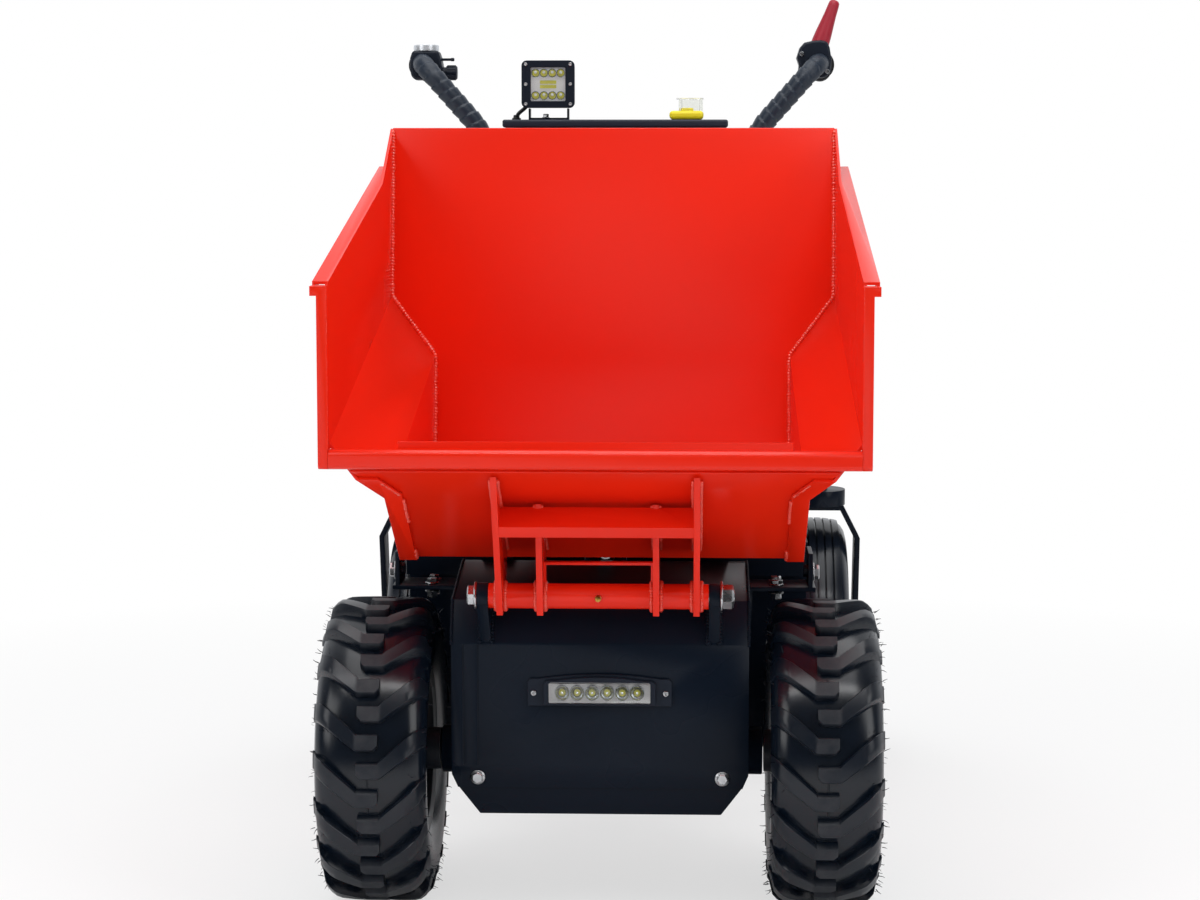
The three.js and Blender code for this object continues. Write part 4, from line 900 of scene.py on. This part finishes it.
for label, side, centre, body in FRONT_WHEELS:
    outward = (side, 0, 0)
    lathe(f"rim_{label}", RIM, centre, outward, 72, rim_black, body, f"front_rim_{label}",
          sharp=30)
    nuts = []
    for i in range(NUT_COUNT):
        angle = 2 * math.pi * i / NUT_COUNT + 0.3
        nuts.append((centre + Vector((side * NUT_SEAT * MM, NUT_RING * MM * math.cos(angle),
                                      NUT_RING * MM * math.sin(angle))), outward))
    bolts(f"wheel_nuts_{label}", (19, 14, 3), nuts, body, twist=0.6, seed=31 + side)
print("rims turned")

# %% [markdown]
# ## Casters
# The rear tyres have plain ribs round the tread, as a barrow's rolling tyre has. The ribs are
# part of the turned profile: six of them, ten millimetres wide with narrow grooves between.

# %% Caster tyres and rims
CASTER_RADIUS, CASTER_X, CASTER_WHEEL_Y = 200, 320, 855
RIB_COUNT, RIB_WIDTH, RIB_PITCH, GROOVE_DEPTH = 6, 10, 13, 5.5
CASTER_FLANK = [(102, 27), (112.5, 30), (120, 35), (138, 44), (158, 49.4), (170, 49.7),
                (180, 47), (187, 42.5), (190, 39)]


def ribbed_profile():
    ribs = []
    for i in range(RIB_COUNT):
        x = 36.5 - RIB_PITCH * i
        end = x - RIB_WIDTH
        first, second = [CASTER_RADIUS - 4.5 * (u / 38) ** 2 for u in (x, end)]
        ribs += [(first - GROOVE_DEPTH, x + 0.8), (first, x),
                 ((first + second) / 2 + 0.3, x - RIB_WIDTH / 2), (second, end),
                 (second - GROOVE_DEPTH, end - 0.8)]
    return mirrored_profile(CASTER_FLANK, ribs)


CASTER_RIM = [(14, 45), (24, 45), (26, 43), (26, 14), (40, 6), (70, 4), (86, 8), (93, 16),
              (95, 28), (101, 30), (109, 31), (112, 33), (112, 34.2), (106, 34), (100, 32),
              (98, 24), (96, 8), (92, 0), (96, -8), (98, -24), (101, -31), (109, -32),
              (112, -33), (112, -34.2), (104, -34), (95, -31), (91, -20), (86, -4), (70, -2),
              (40, -4), (26, -14), (26, -43), (24, -45), (14, -45), (14, 45)]
for label, side in SIDES.items():
    centre = at(side * CASTER_X, CASTER_WHEEL_Y, CASTER_RADIUS)
    body = f"caster_wheel_{label}"
    lathe(f"caster_tyre_{label}_ribbed", ribbed_profile(), centre, ACROSS, 96, ribbed_rubber,
          body, f"caster_tyre_{label}", sharp=40)
    lathe(f"caster_rim_{label}_pressed", CASTER_RIM, centre, (side, 0, 0), 64, rim_black,
          body, f"caster_rim_{label}", sharp=30)
print("caster profile points", len(ribbed_profile()))

# %% [markdown]
# ## Pivot
# The bucket turns on a zinc bolt through two black lugs: a flanged head on one side, a washer
# and a tall lock nut on the other. A brass grease nipple sits in the middle of the red tube,
# and the tube is welded all round where it passes each plate.

# %% Pivot bolt, nipple and welds
PIVOT = (-140, 434)
lathe("pivot_shank", [(0, -158), (10, -158), (10, 172), (8.5, 174), (0, 174)],
      at(0, *PIVOT), ACROSS, 32, zinc_plate, "chassis", "pivot_bolt")
bolts("pivot_head", (24, 9, 3.5), [(at(-156, *PIVOT), (-1, 0, 0))], twist=0.0, seed=4)
bolts("pivot_nut", (27, 14, 3), [(at(156, *PIVOT), ACROSS)], twist=0.0, seed=6)
lathe("grease_nipple", [(0, 0), (4.2, 0), (4.2, 3), (3, 4), (3, 6.5), (4, 7.5), (3.4, 9.5),
                        (1.2, 10.2), (0, 9)],
      at(0, PIVOT[0] - 16.2, PIVOT[1]), FRONT, 20, yellow_brass, "bucket")


def circle_run(x, radius, steps=28):
    turns = [2 * math.pi * i / steps for i in range(steps + 1)]
    return [at(x, PIVOT[0] + radius * math.cos(a), PIVOT[1] + radius * math.sin(a))
            for a in turns]


def paired_runs(x, places):
    """One run of (y, z) places on each side of the machine."""
    return [[at(side * x, y, z) for y, z in places] for side in BOTH_SIDES]


collars = [circle_run(side * x, 17.6) for side in BOTH_SIDES for x in (131.5, 119.5, 80, 68)]
weld("pivot_tube_welds", collars, 3.2, 3.4, 14)
plate_welds = [[at(side * x, y, front_z(y) - 1.2) for y in range(start, -78, 6)]
               for side in BOTH_SIDES
               for x, start in ((130.5, -262), (120.5, -262), (79, -198), (69, -198))]
weld("plate_welds", plate_welds, 2.6, 3.4, 15)
LUG_FOOT = ((-99, 366), (-92, 379), (-82, 398), (-73, 414))
lug_foot = [[at(side * x, y, z) for y, z in LUG_FOOT] for side in BOTH_SIDES for x in (141, 156)]
weld("lug_welds", lug_foot, 3.4, 4.2, 16, satin_black_coat, "chassis")
brow = paired_runs(194, ((-99, 363), (-71, 417), (85, 443), (104, 443)))
weld("brow_welds", brow, 2.2, 3, 17, satin_black_coat, "chassis")
weld("post_welds", paired_runs(328, ((-284, 640), (-284, 836))), 1.8, 2.6, 18)
edging = [[at(side * (half_width(y, front_z(y)) - 19.5), y, front_z(y) + 2)
           for y in (y0, (y0 + y1) / 2, y1)]
          for side in BOTH_SIDES for y0, y1 in ((-250, -222), (-206, -150), (-70, -48))]
weld("edging_welds", edging, 2.8, 3.4, 19)
print("pivot and bucket welded")

# %% [markdown]
# ## Light bar
# A moulded housing with an arched brow stands in a slot in the fascia. Behind its clear
# window a row of six small mirror cups each hold a lamp die on a pale reflector tray.

# %% Plates that stand across the machine


def plate(name, outline, depths, finish, *stands_for, hole=None, radius=1.5, segments=2):
    """An outline in x and z, between two depths, with an optional hole and soft edges."""
    shell = bmesh.new()
    loops = [outline] if hole is None else [outline, hole]
    front, back = [[[shell.verts.new(at(x, y, z)) for x, z in loop] for loop in loops]
                   for y in depths]
    for ring_front, ring_back in zip(front, back):
        for i in range(len(ring_front)):
            j = (i + 1) % len(ring_front)
            shell.faces.new((ring_front[i], ring_front[j], ring_back[j], ring_back[i]))
    if hole is None:
        shell.faces.new(front[0])
        shell.faces.new(list(reversed(back[0])))
    else:
        for rings in (front, back):
            edges = [shell.edges.get((loop[i], loop[(i + 1) % len(loop)]))
                     for loop in rings for i in range(len(loop))]
            bmesh.ops.triangle_fill(shell, edges=edges, use_beauty=True)
    bmesh.ops.dissolve_limit(shell, angle_limit=0.01, verts=shell.verts, edges=shell.edges)
    bmesh.ops.recalc_face_normals(shell, faces=shell.faces)
    obj = soften(from_shell(name, shell), radius, segments, 40)
    return fit(obj, finish, "chassis", *stands_for)


def round_box(cx, cz, half_x, half_z, radius, steps=5):
    outline = []
    for qx, qz, start in ((1, 1, 0), (-1, 1, 90), (-1, -1, 180), (1, -1, 270)):
        for i in range(steps + 1):
            angle = math.radians(start + 90 * i / steps)
            outline.append((cx + qx * (half_x - radius) + radius * math.cos(angle),
                            cz + qz * (half_z - radius) + radius * math.sin(angle)))
    return outline


def arched(half_x, bottom, shoulder, top, steps=16):
    """A low plate whose top rises in a shallow arch between square shoulders."""
    reach = half_x - 16
    outline = [(-half_x, bottom), (half_x, bottom), (half_x, shoulder - 4),
               (half_x - 4, shoulder)]
    for i in range(steps + 1):
        x = reach * (1 - 2 * i / steps)
        outline.append((x, shoulder + (top - shoulder) * (1 - (x / reach) ** 2)))
    return outline + [(-half_x + 4, shoulder), (-half_x, shoulder - 4)]


# %% Housing, tray and cups
LIGHT_Z = 301
window = round_box(0, LIGHT_Z, 66, 14, 3)
plate("light_bar_bezel", arched(94, 283, 319, 325), (-103.5, -99.3), moulded_black,
      "light_bar_body", hole=window, radius=1.2)
plate("light_bar_collar", arched(73, 285, 317, 322), (-110, -103), moulded_black,
      hole=window, radius=1.6)
plate("light_bar_tray", window, (-101, -99.5), pale_reflector, radius=0.3)
rounded("light_bar_lens", clear_cover, 0.8)
CUPS = [at((i - 2.5) * 19.3, -101.2, LIGHT_Z - 0.5) for i in range(6)]
dot_row("light_bar_cups", [(4.0, 0.2), (6.6, 0.9), (8.6, 3.4), (9.0, 5.4), (9.5, 5.4),
                           (9.5, 0), (4.0, 0), (4.0, 0.2)], 24, CUPS, mirror_cup)
dot_row("light_bar_dies", [(0, 0), (4.4, 0), (4.4, 0.9), (3.6, 1.5), (2.0, 1.9), (0, 1.9)],
        20, CUPS, phosphor)
dot_row("light_bar_dots", [(0, 1.9), (1.7, 1.9), (1.7, 2.6), (1.2, 3.1), (0, 3.3)], 14, CUPS,
        bright_chrome)
dot_row("light_bar_screws", [(0, 1.0), (1.5, 1.0), (1.7, 2.4), (3.3, 2.4), (3.7, 1.9),
                             (3.7, 0), (0, 0)],
        16, [at(side * 86, -103.3, LIGHT_Z - 1) for side in BOTH_SIDES], zinc_plate)
print("light bar cups", len(CUPS))

# %% [markdown]
# ## Console lid, lamp and switch
# The lid is a moulded tray turned over the console, with soft edges. The work lamp is a deep
# die-cast box with fins behind, a screwed frame and two rows of cups round a bright strip.

# %% Lid and battery
rounded("console_lid", lid_black, 3.5, 4)
rounded("battery_pack", case_grey, 5, 3)
print("lid and battery rounded")

# %% Work lamp
LAMP_X, LAMP_Z = -103, 1102


def lamp_outline(half_x, half_z, radius, dz=0):
    return round_box(LAMP_X, LAMP_Z + dz, half_x, half_z, radius)


plate("work_lamp_case", lamp_outline(39, 34.5, 7), (592, 632), moulded_black,
      "work_lamp_body", radius=2.5, segments=3)
plate("work_lamp_frame", lamp_outline(40.5, 36, 8), (584.5, 592.5), moulded_black,
      hole=lamp_outline(26.5, 25.5, 2), radius=2.0, segments=3)
plate("work_lamp_tray", lamp_outline(27, 26, 2), (590.5, 592.2), pale_reflector, radius=0.3)
plate("work_lamp_window", lamp_outline(26, 25, 2), (585.8, 587.2), clear_cover,
      "work_lamp_lens", radius=0.4)
rows = [at(LAMP_X + (i - 1.5) * 12.8, 590.4, LAMP_Z + dz) for dz in (17, -17) for i in range(4)]
dot_row("work_lamp_cups", [(5.0, 0.2), (5.9, 1.6), (6.2, 2.9), (6.6, 2.9), (6.6, 0),
                           (5.0, 0), (5.0, 0.2)], 20, rows, mirror_cup)
dot_row("work_lamp_dies", [(0, 0), (5.4, 0), (5.4, 0.8), (4.0, 1.4), (0, 1.7)], 18, rows,
        phosphor)
raised = Vector((0, 0, 1.2 * MM))
dot_row("work_lamp_dots", [(0, 1.6), (2.3, 1.6), (2.3, 2.2), (1.6, 2.6), (0, 2.7)], 14,
        [place + raised for place in rows], satin_bezel)
for level_name, dz in (("upper", 3.2), ("lower", -3.6)):
    plate(f"work_lamp_strip_{level_name}", lamp_outline(12.5, 2.5, 0.6, dz), (588.9, 590.6),
          phosphor, radius=0.2)
screws = [at(LAMP_X + sx * 34, 584.6, LAMP_Z + dz) for sx in BOTH_SIDES for dz in (-30, 0, 30)]
dot_row("work_lamp_screws", [(0, 0.5), (1.2, 0.5), (1.4, 1.4), (2.3, 1.4), (2.7, 0.9),
                             (2.7, 0), (0, 0)], 12, screws, zinc_plate)
FIN_COUNT, FIN_PITCH = 10, 7.5
fins = [bar(f"fin_{i}", (LAMP_X - 34 + i * FIN_PITCH, 631, 1072),
            (LAMP_X - 31.6 + i * FIN_PITCH, 638.5, 1132)) for i in range(FIN_COUNT)]
join(fins).name = "work_lamp_fins"
fit(fins[0], moulded_black, "chassis")
rounded("work_lamp_bracket", satin_black_coat, 0.6)
bolts("bracket_bolt", (8, 5, 1.5), [(at(-108, 616, 1051), UP)], twist=0.0)
print("lamp cups", len(rows), "fins", FIN_COUNT)

# %% Lead from the lamp


def tube(name, places, radius, sides=12):
    """A round bar along a list of places, its rings kept square to the path."""
    verts = []
    normal = None
    for i, place in enumerate(places):
        before, after = places[max(i - 1, 0)], places[min(i + 1, len(places) - 1)]
        forward = (after - before).normalized()
        normal = forward.orthogonal() if normal is None else normal - forward * normal.dot(forward)
        normal.normalize()
        side = forward.cross(normal)
        for k in range(sides):
            angle = 2 * math.pi * k / sides
            verts.append(place + (normal * math.cos(angle) + side * math.sin(angle)) * radius * MM)
    return crease(piece(name, verts, sleeve_faces(len(places), sides)), 60)


def smooth_path(points, per_span=8):
    """A Catmull-Rom curve through the points."""
    points = [2 * points[0] - points[1], *points, 2 * points[-1] - points[-2]]
    path = []
    for a, b, c, d in zip(points, points[1:], points[2:], points[3:]):
        for i in range(per_span):
            t = i / per_span
            path.append(0.5 * ((2 * b) + (c - a) * t + (2 * a - 5 * b + 4 * c - d) * t * t
                               + (3 * b - a - 3 * c + d) * t ** 3))
    return path + [points[-2]]


lead_path = smooth_path([at(-129, 630, 1081), at(-130, 641, 1081), at(-141, 647, 1068),
                         at(-152, 645, 1058), at(-155, 643, 1049)])
fit(tube("work_lamp_flex", lead_path, 3.0), sheath_black, "chassis", "work_lamp_lead")
lathe("lead_gland", [(0, 0), (7, 0), (7, 3), (5, 4), (4.4, 8), (0, 8)], at(-155, 643, 1048.2),
      UP, 20, sheath_black, "chassis")
print("lead points", len(lead_path))

# %% Guarded switch
# A round-shouldered yellow base, a rocker tab, and a clear flip cover like a small open box.


def soft_box(name, low, high, radius, segments=4):
    return soften(bar(name, low, high), radius, segments)


base = soft_box("switch_yellow_base", (82, 570, 1048.6), (134, 630, 1061.6), 5.5)
fit(base, yellow_nylon, "chassis", "switch_base")
tab = soft_box("switch_tab", (99.5, 578, 1060), (118.5, 612, 1066), 2)
fit(tab, yellow_nylon, "chassis")
COVER_WALL = [(96, 575), (133, 575), (133, 625), (96, 625)]
COVER_LIP = [(92.5, 572.5), (134, 573), (134, 627), (92.5, 627)]
shell = bmesh.new()
rings = [[shell.verts.new(at(x, y, z)) for x, y in outline]
         for outline, z in ((COVER_WALL, 1061.9), (COVER_WALL, 1079), (COVER_LIP, 1079.4))]
for lower, upper in zip(rings, rings[1:]):
    for i in range(4):
        j = (i + 1) % 4
        shell.faces.new((lower[i], lower[j], upper[j], upper[i]))
upright = [e for e in shell.edges if abs(e.verts[0].co.z - e.verts[1].co.z) > 0.01]
bmesh.ops.bevel(shell, geom=upright, offset=4 * MM, segments=4, affect="EDGES")
cover = from_shell("switch_clear_cover", shell)
wall = cover.modifiers.new("wall", "SOLIDIFY")
wall.thickness = 1.3 * MM
wall.offset = -1
cover.data.shade_smooth()
fit(crease(settle(cover), 40), clear_cover, "chassis", "switch_cover")
print("switch done")

# %% [markdown]
# ## Handlebars
# Steel tube, wound from end to end with a vinyl band. Each turn laps the one before, so the
# surface steps out a little and falls back once a turn. The tree runs a circle along the
# path, and pushes each point out by how far it is through its turn of the winding.

# %% The path of a bar
BAR_RADIUS = 16.5
BAR_CORNERS = [(200, 792, 536.8), (200, 792, 1010), (318, 802, 1142), (330, 1028, 1136.2)]
BAR_BENDS = [0, 60, 45, 0]


def bar_path(side, steps=10):
    corners = [at(side * x, y, z) for x, y, z in BAR_CORNERS]
    path = [corners[0]]
    for i in (1, 2):
        corner, bend = corners[i], BAR_BENDS[i] * MM
        start = corner + (corners[i - 1] - corner).normalized() * bend
        end = corner + (corners[i + 1] - corner).normalized() * bend
        for k in range(steps + 1):
            t = k / steps
            path.append(start * (1 - t) ** 2 + corner * 2 * t * (1 - t) + end * t ** 2)
    return path + [corners[3]]


print("points on a bar", len(bar_path(1)))

# %% Tree: a wound bar
wound, given = start_tree("wound_bar", Radius="Float", Pitch="Float", Lap="Float",
                          Step="Float", Finish="Material")


def keep(name, geometry, value):
    """Stores a value on each point of a curve, to be read once it is a mesh."""
    made = wound.nodes.new("GeometryNodeCaptureAttribute")
    made.capture_items.new("FLOAT", name)
    wound.links.new(geometry.outputs[0], made.inputs["Geometry"])
    wound.links.new(value, made.inputs[name])
    return made.outputs


line = add(wound, "GeometryNodeMeshToCurve", {"Mesh": given["Geometry"]})
even = add(wound, "GeometryNodeResampleCurve", {"Curve": line, "Length": given["Step"]},
           mode="LENGTH")
along = add(wound, "GeometryNodeSplineParameter")
kept_along = keep("along", even, along.outputs["Length"])
hoop = add(wound, "GeometryNodeCurvePrimitiveCircle", {
    "Resolution": 24, "Radius": given["Radius"]})
kept_round = keep("round", hoop, along.outputs["Factor"])
skin = add(wound, "GeometryNodeCurveToMesh", {
    "Curve": kept_along["Geometry"], "Profile Curve": kept_round["Geometry"],
    "Fill Caps": True})
turns = maths(wound, "DIVIDE", kept_along["along"], given["Pitch"])
wave = maths(wound, "ADD", turns, kept_round["round"])
curve = maths(wound, "POWER", maths(wound, "FRACT", wave), 0.55)
height = maths(wound, "MULTIPLY", curve, given["Lap"])
normal = add(wound, "GeometryNodeInputNormal")
push = add(wound, "ShaderNodeVectorMath", {0: normal, "Scale": height}, operation="SCALE")
moved = add(wound, "GeometryNodeSetPosition", {"Geometry": skin, "Offset": push})
soft = add(wound, "GeometryNodeSetShadeSmooth", {"Geometry": moved})
finish_tree(wound, soft, given["Finish"])

# %% Both bars and grips
GRIP_OFFSET, RIB_STEP = 79, 7.5  # from the bend to the grip, and from rib to rib
for label, side in SIDES.items():
    path = bar_path(side)
    obj = raw(f"bar_{label}_wound", path, [(i, i + 1) for i in range(len(path) - 1)])
    grow(obj, wound, Radius=(BAR_RADIUS - 2.4) * MM, Pitch=17 * MM, Lap=2.6 * MM,
         Step=1.6 * MM, Finish=bar_vinyl)
    mend(obj.data)
    fit(crease(obj, 48), bar_vinyl, "chassis", f"handlebar_{label}")
    top, end = at(side * 318, 802, 1142), at(side * 330, 1035, 1136)
    along_grip = (end - top).normalized()
    start = top + along_grip * GRIP_OFFSET * MM
    length = (end - start).length / MM
    ribs = [(BAR_RADIUS + 0.6, 0), (23, 0), (24.5, 1.5), (24.5, 4), (22, 6), (19, 8)]
    h = 14.0
    while h < length - 12:
        ribs += [(18.4, h - 3.4), (19.6, h - 2.2), (19.6, h + 1.6), (18.4, h + 2.8)]
        h += RIB_STEP
    ribs += [(19.4, length - 8), (19.4, length - 2), (17.5, length + 0.6), (10, length + 1),
             (0, length + 1)]
    lathe(f"grip_{label}_ribbed", ribs, start, along_grip, 40, grip_black, "chassis",
          f"grip_{label}", sharp=50)
print("bar faces", len(obj.data.polygons))

# %% [markdown]
# ## Controls
# On the left bar a moulded clamp carries the crimson brake lever; on the right bar a moulded
# housing has the charge gauge on top and a ridged selector knob on its inner side.

# %% Brake clamp and lever
CONTROL_Y = 855
CLAMP = [(286, 1121), (297, 1116), (306, 1124), (314, 1118), (330, 1118), (339, 1126),
         (340, 1148), (337, 1166), (333, 1176), (322, 1178), (309, 1177), (296, 1174),
         (289, 1166), (284, 1150), (288, 1138)]
plate("brake_clamp_body", CLAMP, (CONTROL_Y - 20, CONTROL_Y + 20), moulded_black,
      "brake_clamp", radius=4.5, segments=4)
bolts("brake_clamp_screws", (7, 3.5), [
    (at(x, CONTROL_Y - 20, z), FRONT) for x, z in ((292, 1156), (333, 1128))], seed=41)
lever_base = at(323, CONTROL_Y, 1176)
lean = at(344.2, CONTROL_Y, 1237) - lever_base
reach = lean.length / MM
lathe("brake_lever_sleeve", [
    (0, -9), (14.4, -9), (14.6, -7), (14.3, 2), (13.4, 14), (11.6, 30), (9.9, 46),
    (8.9, reach - 3), (8.2, reach + 1.5), (6, reach + 4.3), (2.6, reach + 5.4),
    (0, reach + 5.6)], lever_base, lean, 36, crimson_rubber, "chassis", "brake_lever", sharp=40)
print("lever reach", round(reach, 1), "mm")

# %% Housing, gauge and knob
HOUSING = [(-338, 1120), (-331, 1115), (-300, 1115), (-290, 1122), (-287.5, 1135),
           (-290, 1150), (-294, 1162), (-336, 1162), (-340, 1150), (-340, 1132)]
plate("throttle_case", HOUSING, (CONTROL_Y - 20.5, CONTROL_Y + 20.5), moulded_black,
      "throttle_housing", radius=4.5, segments=4)
GAUGE_X = -315
gauge_foot = at(GAUGE_X, CONTROL_Y, 1162.2)
lathe("gauge_rim", [(0, 6.2), (16.5, 6.2), (17.2, 9.2), (18.6, 9.6), (20.3, 8.4), (20.6, 5),
                    (20.3, 0), (0, 0)],
      gauge_foot, UP, 48, satin_bezel, "chassis", "charge_gauge", sharp=30)
lathe("gauge_dial", [(0, 6.6), (16.4, 6.6), (16.4, 6.2), (0, 6.2)], gauge_foot, UP, 40,
      lid_black, "chassis")
TICK_RING = 12.5
tick_angles = [math.radians(-120 + 30 * i) for i in range(9)]
marks = [at(GAUGE_X + TICK_RING * math.sin(a), CONTROL_Y - TICK_RING * math.cos(a), 1168.8)
         for a in tick_angles]
dot_row("gauge_marks", [(0, 0), (1.1, 0), (1.1, 0.35), (0, 0.35)], 8, marks, pale_reflector, UP)
lathe("gauge_glass", [(0, 8.0), (10, 7.8), (17.0, 7.3), (17.0, 6.9), (0, 7.3)], gauge_foot,
      UP, 40, clear_cover, "chassis")
knob_centre = at(-276, CONTROL_Y, 1127)
lathe("selector_knob", [(0, -13), (9, -13), (9, -7), (11.2, -6), (11.2, 9.5), (9.5, 11.2),
                        (0, 11.2)], knob_centre, ACROSS, 32, moulded_black, "chassis")
ridge = soft_box("ridge", (-5, -12.2 - AXLE_Y / MM, -1.4), (9, -10.2 - AXLE_Y / MM, 1.4), 0.6, 2)
ring("selector_ridges", ridge, 12, 0.0, knob_centre, moulded_black, "chassis")
lathe("selector_pin", [(0, -22), (2.2, -22), (2.2, 14), (2.8, 15), (2.8, 19), (2.0, 20),
                       (0, 20)],
      at(-289, CONTROL_Y - 6, 1148), ACROSS, 16, moulded_black, "chassis")
print("gauge marks", len(marks))

# %% [markdown]
# ## Lift cylinder
# A black barrel with a gland nut, a chromed rod, and an eye at each end. The bucket's joint
# drives both: the barrel swings on its foot and the rod slides out.

# %% Barrel and rod
FOOT, EYE = at(0, 450, 262), at(0, 112, 462)
stroke_line = EYE - FOOT
span = stroke_line.length / MM
lathe("lift_barrel_turned", [
    (11.6, 350), (11.6, 46), (0, 46), (0, 34), (22, 34), (24, 36), (24, 318), (23, 319),
    (23, 324), (24, 325), (24, 338), (22.5, 340), (20, 349), (13.5, 350), (11.6, 350)],
    FOOT, stroke_line, 48, satin_black_coat, "lift_cylinder", "lift_barrel", sharp=30)
lathe("lift_foot_eye", [(7.4, -10), (13.2, -10), (14, -9), (14, 9), (13.2, 10), (7.4, 10),
                        (7.4, -10)],
      FOOT, ACROSS, 32, satin_black_coat, "lift_cylinder")
lathe("lift_foot_link", [(0, 12), (9, 12), (9, 35), (0, 35)], FOOT, stroke_line, 24,
      satin_black_coat, "lift_cylinder")
lathe("lift_rod_turned", [(0, 52), (10.4, 52), (11, 53), (11, span - 16), (9, span - 14),
                          (9, span - 9), (0, span - 9)],
      FOOT, stroke_line, 40, bright_chrome, "lift_piston", "lift_rod", sharp=30)
lathe("lift_rod_eye", [(0, -10), (13.2, -10), (14, -9), (14, 9), (13.2, 10), (0, 10)], EYE,
      ACROSS, 32, zinc_plate, "lift_piston")
print("lift span", round(span, 1), "mm")

# %% [markdown]
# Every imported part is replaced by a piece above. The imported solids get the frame's black coat
# all the same, so one that came back into view would not be plain.

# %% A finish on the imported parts
for node, obj in frame["nodes"].items():
    obj.data.materials.clear()
    obj.data.materials.append(satin_black_coat)
print("packed parts", len(frame["nodes"]))
